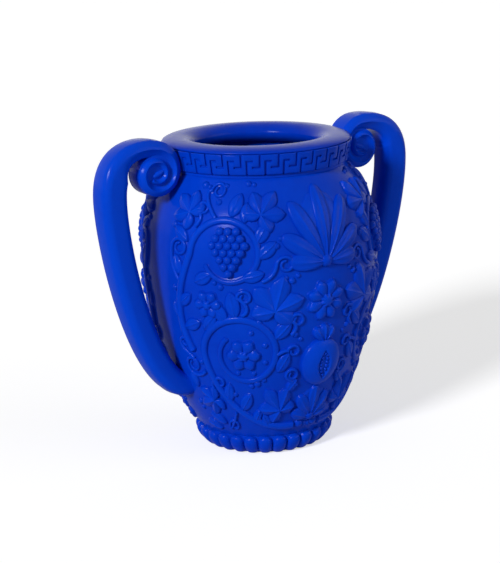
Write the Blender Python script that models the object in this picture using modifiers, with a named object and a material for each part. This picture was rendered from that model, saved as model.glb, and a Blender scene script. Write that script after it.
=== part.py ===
"""Amphora vase: a turned body on a beaded foot, a key-pattern band, a rolled lip,
two strap handles that roll up into volutes, and a fruiting vine sprigged on the wall.

The vase stands on the floor at z = 0 with its axis on Z and its handles along X.
"""

import math

import bmesh
import bpy
from mathutils import Vector
from mathutils.geometry import interpolate_bezier

MM = 0.001
COLLECTION = "amphora_vase"
CUTTERS = "amphora_cutters"

# Fits and fineness
JOIN_GAP = 0.3 * MM
SEAT_SINK = 10 * MM
ROUND_STEPS = 36
WELD = 0.00001

# Foot ring
FOOT_HEIGHT = 22 * MM
FOOT_BORE_RADIUS = 50 * MM
FOOT_LAND_RADIUS = 58.5 * MM
FOOT_TOP_RADIUS = 69.5 * MM
FOOT_BELLY = 2.5 * MM
BEAD_COUNT = 28
BEAD_PROUD = 6 * MM
BEAD_STEPS = 4
BEAD_MIDDLE = 0.52
BEAD_UPPER_REACH = 0.46
BEAD_LOWER_REACH = 0.62

# Body
WALL = 6 * MM
FLOOR_THICKNESS = 8 * MM
BODY_BASE_RADIUS = 70.5 * MM
BELLY_RADIUS = 122.5 * MM
BELLY_RISE = 185.7 * MM
SHOULDER_RISE = 91.3 * MM
BASE_ANGLE = math.radians(56)
BASE_PULL = 79 * MM
BELLY_LOWER_PULL = 30 * MM
BELLY_UPPER_PULL = 42 * MM
SHOULDER_ANGLE = math.radians(49)
SHOULDER_PULL = 35.5 * MM
LEDGE_HEIGHT = 3.4 * MM
LEDGE_PROUD = 0.8 * MM
NECK_RADIUS = 88 * MM
SHOULDER_STEP = 4 * MM

# Key-pattern band round the neck
BAND_HEIGHT = 21 * MM
BAND_BOTTOM_PROUD = 8 * MM
BAND_TOP_PROUD = 12 * MM
BAND_EDGE = 0.9 * MM
KEY_COUNT = 33
KEY_DEPTH = 1.8 * MM
KEY_TURN = math.radians(2.4)

# One key: a groove that rises and hooks forward, and one that falls and hooks back.
# Across in shares of the pitch, up in shares of the band's slanting face
KEY_GROOVE = 0.095
RISING_HOOK, RISING_TOP = 0.33, 0.73
FALLING_STEM, FALLING_HOOK, FALLING_FOOT = 0.70, 0.43, 0.32

# Rolled lip
LIP_CREST_INSET = 7.4 * MM
LIP_ROLL_RADIUS = 17 * MM
LIP_CREST_RISE = 5.7 * MM
LIP_SETBACK = 1.5 * MM
LIP_CURL = math.radians(245)

# Handles
STRAP_WIDTH = 32 * MM
STRAP_THICKNESS = 28.5 * MM
STRAP_LOW_THICKNESS = 25 * MM
STRAP_CORNER = 8.5 * MM
HANDLE_TOP_ABOVE_CREST = 7 * MM
BEND_DROP = 54.5 * MM
BEND_PULL = 66 * MM
BEND_THICKENING = 2.0
SIDE_PULL = 56 * MM
SEAT_PULL = 54 * MM
SEAT_ANGLE = math.radians(-2)
SEAT_HEIGHT = 65 * MM
SEAT_SPREAD = 1.1
VOLUTE_RADIUS = 33.5 * MM
VOLUTE_CLEARANCE = 1.0 * MM
VOLUTE_FROM_BAND = 26.5 * MM
VOLUTE_TO_STRAP = 14.4 * MM
VOLUTE_SHRINK = 0.48
VOLUTE_TURNS = 2.0
VOLUTE_GROOVE = 3.5 * MM
VOLUTE_CORE_RADIUS = 18 * MM
VOLUTE_CORE_SHIFT = 0.7 * MM
PAD_RADIUS = 12 * MM

# Sprigged vine, drawn on a sheet of squares that is pressed round the wall
PANEL_ANGLE = math.radians(158)
SQUARES_ROUND = 112
SQUARES_UP = 100
STEM_RISE = 4.2 * MM
LEAF_RISE = 4.8 * MM
ROSETTE_RISE = 5.4 * MM
GRAPE_RISE = 7.5 * MM
FRUIT_RISE = 10 * MM
SPRIG_EDGE = 0.55
SPRIG_ROOT = 3 * MM
STEM_TAPER = 0.55
LOW_STEM_WIDTH = 10.5 * MM
HIGH_STEM_WIDTH = 9.3 * MM

# Drawing of one half panel, in squares: across from its middle line, up from the foot
LOW_STEM = ((6, 5.5), ((26, 3), (44, 16)), (30, 37), 15.5, 0.58, 1.15)
HIGH_STEM = ((49.5, 36), ((57, 50), (52, 62)), (34, 73), 13.5, 0.6, 0.95)
LEAVES = (
    ("leaf_low", (18, 17), 14.5, 35),
    ("leaf_side", (47.5, 17), 11.5, 110),
    ("leaf_mid", (17.5, 57.5), 16.5, -15),
    ("leaf_top", (50.5, 88.5), 12.5, 50),
    ("leaf_crown", (20.5, 89), 13.5, -35),
)
ROSETTES = (
    ("rosette_low", (30, 37), 6.4),
    ("rosette_mid", (41.5, 55.5), 5.2),
)
BUNCH_MIDDLE, BUNCH_SIZE = (33.5, 74), (13.5, 16.5)
CALYX_MIDDLE, CALYX_SIZE = (0, 15), (20, 15)
FRUIT_MIDDLE, FRUIT_SIZE = (0, 34.5), (17, 23)
HEART_MIDDLE, HEART_RADIUS = (0, 55.5), 7.6
FAN_MIDDLE, FAN_SIZE = (0, 81), (26, 30)

GLAZE = (0.012, 0.052, 0.47, 1.0)
GLAZE_ROUGHNESS = 0.45

# Radii and levels that the pieces share
SHOULDER_TOP_RADIUS = NECK_RADIUS + SHOULDER_STEP
BAND_BOTTOM_RADIUS = NECK_RADIUS + BAND_BOTTOM_PROUD
BAND_TOP_RADIUS = NECK_RADIUS + BAND_TOP_PROUD
LIP_CREST_RADIUS = NECK_RADIUS - LIP_CREST_INSET
SQUARE = BELLY_RADIUS * PANEL_ANGLE / SQUARES_ROUND
BODY_BASE_Z = FOOT_HEIGHT + JOIN_GAP
BELLY_Z = BODY_BASE_Z + BELLY_RISE
SHOULDER_Z = BELLY_Z + SHOULDER_RISE
LEDGE_Z = SHOULDER_Z + LEDGE_HEIGHT
BAND_Z = LEDGE_Z + JOIN_GAP
BAND_TOP_Z = BAND_Z + BAND_HEIGHT
LIP_Z = BAND_TOP_Z + JOIN_GAP
CREST_Z = LIP_Z + LIP_CREST_RISE
HANDLE_TOP_Z = CREST_Z + HANDLE_TOP_ABOVE_CREST
VOLUTE_X = BAND_TOP_RADIUS + VOLUTE_FROM_BAND
VOLUTE_Z = HANDLE_TOP_Z - VOLUTE_RADIUS
VOLUTE_OUTER_SIDE = VOLUTE_X + VOLUTE_RADIUS * VOLUTE_SHRINK**0.75
HANDLE_REACH = VOLUTE_OUTER_SIDE + VOLUTE_TO_STRAP + STRAP_THICKNESS


def clear_scene():
    for obj in list(bpy.data.objects):
        bpy.data.objects.remove(obj, do_unlink=True)
    for name in (COLLECTION, CUTTERS):
        old = bpy.data.collections.get(name)
        if old:
            bpy.data.collections.remove(old)
        bpy.context.scene.collection.children.link(bpy.data.collections.new(name))


def glaze(name):
    material = bpy.data.materials.new(name + "_glaze")
    material.use_nodes = True
    shader = material.node_tree.nodes["Principled BSDF"]
    shader.inputs["Base Color"].default_value = GLAZE
    shader.inputs["Roughness"].default_value = GLAZE_ROUGHNESS
    shader.inputs["Metallic"].default_value = 0.0
    material.diffuse_color = GLAZE
    return material


def add_object(name, mesh, cutter=False):
    obj = bpy.data.objects.new(name, mesh)
    bpy.data.collections[CUTTERS if cutter else COLLECTION].objects.link(obj)
    if cutter:
        obj.hide_render = True
        obj.display_type = "WIRE"
    elif not mesh.materials:
        mesh.materials.append(glaze(name))
    return obj


def mesh_from(name, shape):
    bmesh.ops.recalc_face_normals(shape, faces=shape.faces)
    mesh = bpy.data.meshes.new(name)
    shape.to_mesh(mesh)
    shape.free()
    return mesh


def shade(mesh):
    mesh.shade_smooth()
    mesh.set_sharp_from_angle(angle=math.radians(35))


def baked(obj):
    """The object's mesh with its modifiers in it."""
    evaluated = obj.evaluated_get(bpy.context.evaluated_depsgraph_get())
    return bpy.data.meshes.new_from_object(evaluated)


def bake(obj):
    mesh = baked(obj)
    obj.modifiers.clear()
    obj.data = mesh
    return obj


def boolean(obj, other, operation):
    modifier = obj.modifiers.new(operation.lower(), "BOOLEAN")
    modifier.operation = operation
    modifier.object = other
    modifier.solver = "EXACT"


def join(obj, other):
    """Fuses other into obj and removes it."""
    boolean(obj, other, "UNION")
    bake(obj)
    bpy.data.objects.remove(other, do_unlink=True)


def turned(name, profile, steps=ROUND_STEPS, closed=False, cutter=False):
    """A profile of (radius, height) points, spun round Z. It runs down its outer side."""
    mesh = bpy.data.meshes.new(name)
    points = [(radius, 0.0, height) for radius, height in profile]
    edges = [(i, i + 1) for i in range(len(points) - 1)]
    if closed:
        edges.append((len(points) - 1, 0))
    mesh.from_pydata(points, edges, [])
    obj = add_object(name, mesh, cutter)
    screw = obj.modifiers.new("turn", "SCREW")
    screw.axis = "Z"
    screw.steps = steps
    screw.render_steps = steps
    screw.use_merge_vertices = True
    screw.merge_threshold = WELD
    screw.use_smooth_shade = True
    return bake(obj)


def bezier(start, start_pull, end_pull, end, count):
    """Points of one cubic curve in a plane, with both ends."""
    knots = [Vector((x, y, 0)) for x, y in (start, start_pull, end_pull, end)]
    return [(point.x, point.y) for point in interpolate_bezier(*knots, count)]


def wall_curve(lower=9, upper=6):
    """The outside of the body, from its base up to the top of the shoulder."""
    base = (BODY_BASE_RADIUS, BODY_BASE_Z)
    belly = (BELLY_RADIUS, BELLY_Z)
    top = (SHOULDER_TOP_RADIUS, SHOULDER_Z)
    base_pull = (
        base[0] + BASE_PULL * math.cos(BASE_ANGLE),
        base[1] + BASE_PULL * math.sin(BASE_ANGLE),
    )
    top_pull = (
        top[0] + SHOULDER_PULL * math.cos(SHOULDER_ANGLE),
        top[1] - SHOULDER_PULL * math.sin(SHOULDER_ANGLE),
    )
    below = bezier(base, base_pull, (belly[0], belly[1] - BELLY_LOWER_PULL), belly, lower)
    above = bezier(belly, (belly[0], belly[1] + BELLY_UPPER_PULL), top_pull, top, upper)
    return below + above[1:]


def offset(points, distance):
    """The curve moved sideways, towards the right-hand side of its run."""
    moved = []
    for i, (x, y) in enumerate(points):
        before = points[max(i - 1, 0)]
        after = points[min(i + 1, len(points) - 1)]
        run = math.hypot(after[0] - before[0], after[1] - before[1])
        moved.append(
            (
                x + distance * (after[1] - before[1]) / run,
                y - distance * (after[0] - before[0]) / run,
            )
        )
    return moved


def radius_at(curve, height):
    """The radius of a turned curve at one height."""
    for (r0, z0), (r1, z1) in zip(curve, curve[1:]):
        if z0 <= height <= z1:
            return r0 + (r1 - r0) * (height - z0) / (z1 - z0)
    return curve[0][0]


def bead_push(angle, height):
    """How far the foot's wall stands out in beads at one place."""
    across = 2 * ((angle * BEAD_COUNT / math.tau) % 1.0) - 1
    level = height / FOOT_HEIGHT - BEAD_MIDDLE
    along = level / (BEAD_UPPER_REACH if level > 0 else BEAD_LOWER_REACH)
    return BEAD_PROUD * math.sqrt(max(0.0, 1 - across**2 - along**2))


def make_foot():
    """The ring that the vase stands on, with its row of egg-shaped beads."""
    grow = FOOT_TOP_RADIUS - FOOT_LAND_RADIUS
    outer = []
    for share in (1.0, 0.88, 0.66, 0.4, 0.12):
        radius = FOOT_LAND_RADIUS + grow * share + FOOT_BELLY * math.sin(math.pi * share)
        outer.append((radius, FOOT_HEIGHT * share))
    profile = [(FOOT_BORE_RADIUS, FOOT_HEIGHT)]
    profile += outer
    profile += [(FOOT_LAND_RADIUS, 0.0), (FOOT_BORE_RADIUS, 0.0)]
    foot = turned("foot_ring", profile, BEAD_COUNT * BEAD_STEPS, closed=True)
    for vertex in foot.data.vertices:
        radius = math.hypot(vertex.co.x, vertex.co.y)
        if radius > FOOT_LAND_RADIUS + WELD:
            push = bead_push(math.atan2(vertex.co.y, vertex.co.x), vertex.co.z)
            vertex.co.x *= (radius + push) / radius
            vertex.co.y *= (radius + push) / radius
    shade(foot.data)


def make_body():
    """The turned shell: floor, wall, shoulder, ledge and neck."""
    wall = wall_curve()
    floor_z = BODY_BASE_Z + FLOOR_THICKNESS
    corner_z = floor_z + WALL
    inner_neck = NECK_RADIUS - WALL
    inner_wall = offset(wall_curve(lower=6, upper=5), -WALL)
    corner_radius = radius_at(inner_wall, corner_z)
    profile = [(0.0, floor_z), (corner_radius - WALL, floor_z), (corner_radius, corner_z)]
    profile += [
        (radius, height)
        for radius, height in inner_wall
        if height > corner_z and (height < BELLY_Z or radius > inner_neck)
    ]
    profile += [(inner_neck, SHOULDER_Z - WALL / 3), (inner_neck, BAND_TOP_Z)]
    profile += [(NECK_RADIUS, BAND_TOP_Z), (NECK_RADIUS, LEDGE_Z)]
    ledge = SHOULDER_TOP_RADIUS + LEDGE_PROUD
    profile += [(ledge, LEDGE_Z), (ledge, SHOULDER_Z + LEDGE_PROUD / 3)]
    profile += reversed(wall)
    profile += [(0.0, BODY_BASE_Z)]
    body = turned("body_shell", profile)
    shade(body.data)


def groove_outline(rising, pitch, slant):
    """One arm of the key pattern as a flat L, in the face of the band."""
    half = KEY_GROOVE * pitch / 2
    past = 3 * KEY_DEPTH
    if rising:
        hook, level = RISING_HOOK * pitch, RISING_TOP * slant
        return [
            (-half, -past),
            (half, -past),
            (half, level - 2 * half),
            (hook, level - 2 * half),
            (hook, level),
            (-half, level),
        ]
    stem, level = FALLING_STEM * pitch, FALLING_FOOT * slant
    hook, end = stem - FALLING_HOOK * pitch, slant + past
    return [
        (stem + half, end),
        (stem - half, end),
        (stem - half, level + 2 * half),
        (hook, level + 2 * half),
        (hook, level),
        (stem + half, level),
    ]


def make_band():
    """The band that is slipped over the neck, with the key pattern cut round it."""
    bore = NECK_RADIUS + JOIN_GAP
    profile = [
        (bore, BAND_TOP_Z),
        (BAND_TOP_RADIUS - BAND_EDGE, BAND_TOP_Z),
        (BAND_TOP_RADIUS, BAND_TOP_Z - BAND_EDGE),
        (BAND_BOTTOM_RADIUS, BAND_Z + BAND_EDGE),
        (BAND_BOTTOM_RADIUS - BAND_EDGE, BAND_Z),
        (bore, BAND_Z),
    ]
    band = turned("meander_band", profile, closed=True)
    run = Vector((BAND_TOP_RADIUS - BAND_BOTTOM_RADIUS, 0, BAND_HEIGHT))
    slant = run.length
    up = run.normalized()
    out = Vector((up.z, 0, -up.x))
    middle_radius = (BAND_TOP_RADIUS + BAND_BOTTOM_RADIUS) / 2
    pitch = math.tau * middle_radius / KEY_COUNT
    shape = bmesh.new()
    for i in range(KEY_COUNT):
        for rising in (True, False):
            outline = groove_outline(rising, pitch, slant)
            middle = sum(u for u, _ in outline) / len(outline)
            angle = KEY_TURN + (i * pitch + middle) / middle_radius
            turn = Vector((math.cos(angle), math.sin(angle), 0))
            side = Vector((-turn.y, turn.x, 0))
            corners = []
            for u, v in outline:
                place = Vector((BAND_BOTTOM_RADIUS, 0, BAND_Z)) + v * up - KEY_DEPTH * out
                corners.append(turn * place.x + Vector((0, 0, place.z)) + side * (u - middle))
            face = shape.faces.new([shape.verts.new(corner) for corner in corners])
            outward = turn * out.x + Vector((0, 0, out.z))
            pushed = bmesh.ops.extrude_face_region(shape, geom=[face])["geom"]
            moved = [item for item in pushed if isinstance(item, bmesh.types.BMVert)]
            bmesh.ops.translate(shape, verts=moved, vec=outward * (3 * KEY_DEPTH))
    cutter = add_object("key_grooves", mesh_from("key_grooves", shape), cutter=True)
    boolean(band, cutter, "DIFFERENCE")
    bake(band)
    shade(band.data)


def lip_profile(crown_steps=3, roll_steps=6):
    """The rolled lip's section: a gently crowned top and a round throat."""
    outer_radius = BAND_TOP_RADIUS - LIP_SETBACK
    inner_neck = NECK_RADIUS - WALL - JOIN_GAP
    roll = LIP_ROLL_RADIUS
    points = []
    for i in range(roll_steps + 1):
        angle = LIP_CURL + (math.pi / 2 - LIP_CURL) * i / roll_steps
        points.append(
            (
                LIP_CREST_RADIUS + roll * math.cos(angle),
                CREST_Z - roll + roll * math.sin(angle),
            )
        )
    for i in range(1, crown_steps + 1):
        angle = math.pi / 2 * (1 - i / crown_steps)
        points.append(
            (
                LIP_CREST_RADIUS + (outer_radius - LIP_CREST_RADIUS) * math.cos(angle),
                LIP_Z + LIP_CREST_RISE * math.sin(angle),
            )
        )
    points.append((inner_neck, LIP_Z))
    points.append((inner_neck, points[0][1]))
    return points


def make_lip():
    lip = turned("rim_lip", lip_profile(), closed=True)
    shade(lip.data)


def seat_cutter():
    """Everything inside the vase's outline, grown by the join gap."""
    wall = offset(wall_curve(), JOIN_GAP)
    ledge = SHOULDER_TOP_RADIUS + LEDGE_PROUD + JOIN_GAP
    profile = [(0.0, CREST_Z + JOIN_GAP), (LIP_CREST_RADIUS, CREST_Z + JOIN_GAP)]
    profile += [
        (BAND_TOP_RADIUS + JOIN_GAP, LIP_Z + JOIN_GAP),
        (BAND_TOP_RADIUS + JOIN_GAP, BAND_TOP_Z - BAND_EDGE),
        (BAND_BOTTOM_RADIUS + JOIN_GAP, BAND_Z + BAND_EDGE),
        (BAND_BOTTOM_RADIUS + JOIN_GAP, BAND_Z - JOIN_GAP),
        (ledge, BAND_Z - JOIN_GAP),
        (ledge, SHOULDER_Z - JOIN_GAP),
    ]
    profile += reversed(wall[:-1])
    profile += [(0.0, BODY_BASE_Z)]
    return turned("seat_cutter", profile, cutter=True)


def strap_section(width, thickness):
    """A rounded rectangle as (across, through) points."""
    corner = min(STRAP_CORNER, 0.42 * thickness)
    points = []
    for i, (sx, sy) in enumerate(((1, 1), (-1, 1), (-1, -1), (1, -1))):
        for part in (0.1, 0.9):
            angle = (i + part) * math.pi / 2
            points.append(
                (
                    sx * (width / 2 - corner) + corner * math.cos(angle),
                    sy * (thickness / 2 - corner) + corner * math.sin(angle),
                )
            )
    return points


def volute_radius(turn):
    return VOLUTE_RADIUS * VOLUTE_SHRINK**turn


def strap_stations():
    """The strap's outer face as (x, z, thickness), from the volute's eye to the lower seat."""
    stations = []
    steps = round(VOLUTE_TURNS * 12)
    for i in range(steps, -1, -1):
        turn = VOLUTE_TURNS * i / steps
        angle = math.pi / 2 + math.tau * turn
        radius = volute_radius(turn)
        thickness = radius * (1 - VOLUTE_SHRINK) - VOLUTE_CLEARANCE
        stations.append(
            (
                VOLUTE_X + radius * math.cos(angle),
                VOLUTE_Z + radius * math.sin(angle),
                thickness,
            )
        )
    top = (VOLUTE_X, HANDLE_TOP_Z)
    elbow = (HANDLE_REACH, HANDLE_TOP_Z - BEND_DROP)
    thin = stations[-1][2]
    bend = bezier(top, top, (elbow[0], elbow[1] + BEND_PULL), elbow, 10)[2:]
    for i, (x, z) in enumerate(bend, 1):
        share = min(1.0, i / (len(bend) - 2)) ** BEND_THICKENING
        stations.append((x, z, thin + (STRAP_THICKNESS - thin) * share))
    seat = (radius_at(wall_curve(), SEAT_HEIGHT), SEAT_HEIGHT)
    seat_pull = (
        seat[0] + SEAT_PULL * math.cos(SEAT_ANGLE),
        seat[1] + SEAT_PULL * math.sin(SEAT_ANGLE),
    )
    side = bezier(elbow, (elbow[0], elbow[1] - SIDE_PULL), seat_pull, seat, 10)
    for i, (x, z) in enumerate(side[1:], 1):
        share = i / (len(side) - 1)
        stations.append((x, z, STRAP_THICKNESS + (STRAP_LOW_THICKNESS - STRAP_THICKNESS) * share))
    x, z = side[-1]
    sunk_x = x - SEAT_SINK * math.cos(SEAT_ANGLE)
    sunk_z = z - SEAT_SINK * math.sin(SEAT_ANGLE)
    stations.append((sunk_x, sunk_z, STRAP_LOW_THICKNESS * SEAT_SPREAD))
    return stations


def strap_mesh(name):
    """A loft of rounded rectangles along the strap, whose thickness changes all the way."""
    stations = strap_stations()
    shape = bmesh.new()
    rings = []
    for i, (x, z, thickness) in enumerate(stations):
        before = stations[max(i - 1, 0)]
        after = stations[min(i + 1, len(stations) - 1)]
        along = Vector((after[0] - before[0], 0, after[1] - before[1])).normalized()
        inward = Vector((along.z, 0, -along.x))
        middle = Vector((x, 0, z)) + inward * thickness / 2
        width = STRAP_WIDTH * (SEAT_SPREAD if i == len(stations) - 1 else 1.0)
        ring = []
        for across, through in strap_section(width, thickness):
            ring.append(shape.verts.new(middle + Vector((0, across, 0)) - inward * through))
        rings.append(ring)
    for near, far in zip(rings, rings[1:]):
        for j in range(len(near)):
            k = (j + 1) % len(near)
            shape.faces.new((near[j], near[k], far[k], far[j]))
    shape.faces.new(rings[0])
    shape.faces.new(rings[-1])
    return mesh_from(name, shape)


def make_handles(seat):
    """Both handles: strap, the slip that fuses the volute's turns, and the pad on the collar."""
    right = add_object("handle_right", strap_mesh("handle_right"))
    bpy.ops.mesh.primitive_cylinder_add(
        vertices=16,
        radius=VOLUTE_CORE_RADIUS,
        depth=STRAP_WIDTH - 2 * VOLUTE_GROOVE,
        location=(VOLUTE_X - VOLUTE_CORE_SHIFT, 0, VOLUTE_Z - VOLUTE_CORE_SHIFT),
        rotation=(math.pi / 2, 0, 0),
    )
    join(right, bpy.context.active_object)
    pad_x = BAND_BOTTOM_RADIUS + PAD_RADIUS / 2
    bpy.ops.mesh.primitive_uv_sphere_add(
        segments=14, ring_count=8, radius=PAD_RADIUS, location=(pad_x, 0, BAND_Z)
    )
    join(right, bpy.context.active_object)
    boolean(right, seat, "DIFFERENCE")
    bake(right)
    shade(right.data)
    left_mesh = right.data.copy()
    left_mesh.materials.clear()
    left = add_object("handle_left", left_mesh)
    left.rotation_euler.z = math.pi


class Wall:
    """Presses a flat drawing round the body: squares across, squares up, and height proud."""

    def __init__(self):
        self.curve = wall_curve()
        self.marks = [0.0]
        for (r0, z0), (r1, z1) in zip(self.curve, self.curve[1:]):
            self.marks.append(self.marks[-1] + math.hypot(r1 - r0, z1 - z0))

    def place(self, across, up, proud):
        length = self.marks[-1] * min(max(up / SQUARES_UP, 0.0), 1.0)
        i = 0
        while i < len(self.marks) - 2 and self.marks[i + 1] < length:
            i += 1
        (r0, z0), (r1, z1) = self.curve[i], self.curve[i + 1]
        run = self.marks[i + 1] - self.marks[i]
        share = (length - self.marks[i]) / run
        radius = r0 + (r1 - r0) * share + proud * (z1 - z0) / run
        height = z0 + (z1 - z0) * share - proud * (r1 - r0) / run
        angle = across / SQUARES_ROUND * PANEL_ANGLE
        return Vector((radius * math.sin(angle), -radius * math.cos(angle), height))


def crowned(wall, outline, middle, rise, dish=1.0):
    """A sprig with a vertical edge and a crowned face, from its outline in squares."""
    shape = bmesh.new()
    layers = (
        (1.0, -SPRIG_ROOT),
        (1.0, rise * SPRIG_EDGE),
        (0.55, rise),
    )
    rings = []
    for scale, proud in layers:
        ring = []
        for u, v in outline:
            across = middle[0] + (u - middle[0]) * scale
            up = middle[1] + (v - middle[1]) * scale
            ring.append(shape.verts.new(wall.place(across, up, proud)))
        rings.append(ring)
    for low, high in zip(rings, rings[1:]):
        for j in range(len(low)):
            k = (j + 1) % len(low)
            shape.faces.new((low[j], low[k], high[k], high[j]))
    for ring, proud in ((rings[0], -SPRIG_ROOT), (rings[-1], rise * dish)):
        tip = shape.verts.new(wall.place(middle[0], middle[1], proud))
        for j in range(len(ring)):
            shape.faces.new((ring[j], ring[(j + 1) % len(ring)], tip))
    return shape


def ring_outline(middle, steps, reach, turn=0.0):
    """Points round a middle, where reach gives the radius at an angle from straight up."""
    points = []
    for i in range(steps):
        angle = math.tau * i / steps
        way = angle + turn
        points.append(
            (
                middle[0] + reach(angle) * math.sin(way),
                middle[1] + reach(angle) * math.cos(way),
            )
        )
    return points


def rosette_outline(middle, radius, petals=6, depth=0.2):
    return ring_outline(
        middle,
        petals * 2,
        lambda angle: radius * (1 - depth * (1 + math.cos(petals * angle)) / 2),
    )


def leaf_outline(middle, length, turn, lobes=5, cut=0.36):
    """A lobed vine leaf whose tip points along turn, measured from straight up."""

    def reach(angle):
        lobe = abs(math.cos(lobes * angle / 2)) ** 0.7
        return length / 2 * (1 - cut * (1 - lobe)) * (1 + 0.16 * math.cos(angle))

    return ring_outline(middle, lobes * 2, reach, turn)


def bunch_outline(middle, width, height):
    """A grape bunch: wide shoulders and a rounded tip."""
    points = []
    for across, up in ring_outline((0, 0), 12, lambda angle: 0.5):
        taper = 0.82 + 0.36 * up
        points.append((middle[0] + width * taper * across, middle[1] + height * up))
    return points


def fruit_outline(middle, width, height):
    """A pomegranate with its crown of three points."""
    points = []
    for degrees in range(30, 331, 30):
        angle = math.radians(degrees)
        points.append(
            (
                middle[0] + width / 2 * math.sin(angle),
                middle[1] - 0.1 * height + 0.4 * height * math.cos(angle),
            )
        )
    for side, level in ((-0.22, 0.5), (-0.1, 0.38), (0.0, 0.5), (0.1, 0.38), (0.22, 0.5)):
        points.append((middle[0] + side * width, middle[1] + level * height))
    return points


def palmette_outline(middle, width, height, fronds=7):
    """A fan of fronds on a narrow heel."""
    steps = fronds * 2
    heel = 0.16 * width
    points = [(middle[0] + heel, middle[1] - height / 2)]
    points.append((middle[0] - heel, middle[1] - height / 2))
    for i in range(steps + 1):
        fan = math.radians(-112 + 224 * i / steps)
        reach = 1.0 if i % 2 else 0.8
        points.append(
            (
                middle[0] + width / 2 * reach * math.sin(fan),
                middle[1] - 0.12 * height + 0.62 * height * reach * math.cos(fan),
            )
        )
    return points


def scroll_line(start, pulls, centre, radius, shrink, turns):
    """A stem that rises from its start and rolls in round a centre, in squares."""
    line = bezier(start, pulls[0], pulls[1], (centre[0] + radius, centre[1]), 6)[:-1]
    steps = round(turns * 11)
    for i in range(steps + 1):
        turn = turns * i / steps
        angle = math.tau * turn
        reach = radius * shrink**turn
        line.append((centre[0] + reach * math.cos(angle), centre[1] + reach * math.sin(angle)))
    return line


def stem(wall, line, width, taper):
    """A ridge of clay along a line of squares, thinning towards its tip."""
    shape = bmesh.new()
    rings = []
    for i, (u, v) in enumerate(line):
        before = line[max(i - 1, 0)]
        after = line[min(i + 1, len(line) - 1)]
        run = math.hypot(after[0] - before[0], after[1] - before[1])
        side = ((after[1] - before[1]) / run, (before[0] - after[0]) / run)
        scale = 1 - (1 - taper) * i / (len(line) - 1)
        ring = []
        for across, proud in (
            (-1.0, -SPRIG_ROOT),
            (-0.42, STEM_RISE * scale),
            (0.42, STEM_RISE * scale),
            (1.0, -SPRIG_ROOT),
        ):
            aside = across * width / SQUARE / 2 * scale
            place = wall.place(u + side[0] * aside, v + side[1] * aside, proud)
            ring.append(shape.verts.new(place))
        rings.append(ring)
    for near, far in zip(rings, rings[1:]):
        for j in range(4):
            k = (j + 1) % 4
            shape.faces.new((near[j], near[k], far[k], far[j]))
    shape.faces.new(rings[0])
    shape.faces.new(rings[-1])
    return shape


def half_panel(wall, side):
    """The sprigs of one half of a panel. side is -1 on the left and 1 on the right."""
    hand = "left" if side < 0 else "right"

    def flipped(points):
        return [(side * u, v) for u, v in points]

    for label, line, width in (
        ("low_stem", scroll_line(*LOW_STEM), LOW_STEM_WIDTH),
        ("high_stem", scroll_line(*HIGH_STEM), HIGH_STEM_WIDTH),
    ):
        yield f"{label}_{hand}", stem(wall, flipped(line), width, STEM_TAPER)
    for label, middle, length, turn in LEAVES:
        outline = leaf_outline(middle, length, math.radians(turn))
        centre = (side * middle[0], middle[1])
        yield f"{label}_{hand}", crowned(wall, flipped(outline), centre, LEAF_RISE)
    for label, middle, radius in ROSETTES:
        outline = rosette_outline(middle, radius)
        centre = (side * middle[0], middle[1])
        yield f"{label}_{hand}", crowned(wall, flipped(outline), centre, ROSETTE_RISE)
    outline = bunch_outline(BUNCH_MIDDLE, *BUNCH_SIZE)
    centre = (side * BUNCH_MIDDLE[0], BUNCH_MIDDLE[1])
    yield f"grapes_{hand}", crowned(wall, flipped(outline), centre, GRAPE_RISE)


def centre_column(wall):
    """The sprigs on the middle line of a panel, from the calyx up to the palmette."""
    calyx = palmette_outline(CALYX_MIDDLE, *CALYX_SIZE, fronds=5)
    yield "calyx", crowned(wall, calyx, CALYX_MIDDLE, LEAF_RISE)
    fruit = fruit_outline(FRUIT_MIDDLE, *FRUIT_SIZE)
    yield "pomegranate", crowned(wall, fruit, FRUIT_MIDDLE, FRUIT_RISE)
    rosette = rosette_outline(HEART_MIDDLE, HEART_RADIUS, petals=8)
    yield "heart_rosette", crowned(wall, rosette, HEART_MIDDLE, ROSETTE_RISE)
    fan = palmette_outline(FAN_MIDDLE, *FAN_SIZE)
    yield "palmette", crowned(wall, fan, FAN_MIDDLE, LEAF_RISE)


def make_vine(seat):
    """Both panels of the vine. The back one is the front one turned half round."""
    wall = Wall()
    sprigs = list(centre_column(wall)) + list(half_panel(wall, -1)) + list(half_panel(wall, 1))
    for label, shape in sprigs:
        front = add_object("front_" + label, mesh_from("front_" + label, shape))
        boolean(front, seat, "DIFFERENCE")
        bake(front)
        shade(front.data)
        back_mesh = front.data.copy()
        back_mesh.materials.clear()
        back = add_object("back_" + label, back_mesh)
        back.rotation_euler.z = math.pi


def main():
    clear_scene()
    make_foot()
    make_body()
    make_band()
    make_lip()
    seat = seat_cutter()
    make_handles(seat)
    make_vine(seat)


main()
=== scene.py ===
"""Amphora vase: the glazed surfaces of every piece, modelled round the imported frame.

The vase stands on z = 0 with its axis on Z and its handles along X.
"""

import math
from bisect import bisect_right
from collections import namedtuple

import bmesh
import bpy
from mathutils import Matrix, Vector
from mathutils.geometry import interpolate_bezier


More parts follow.
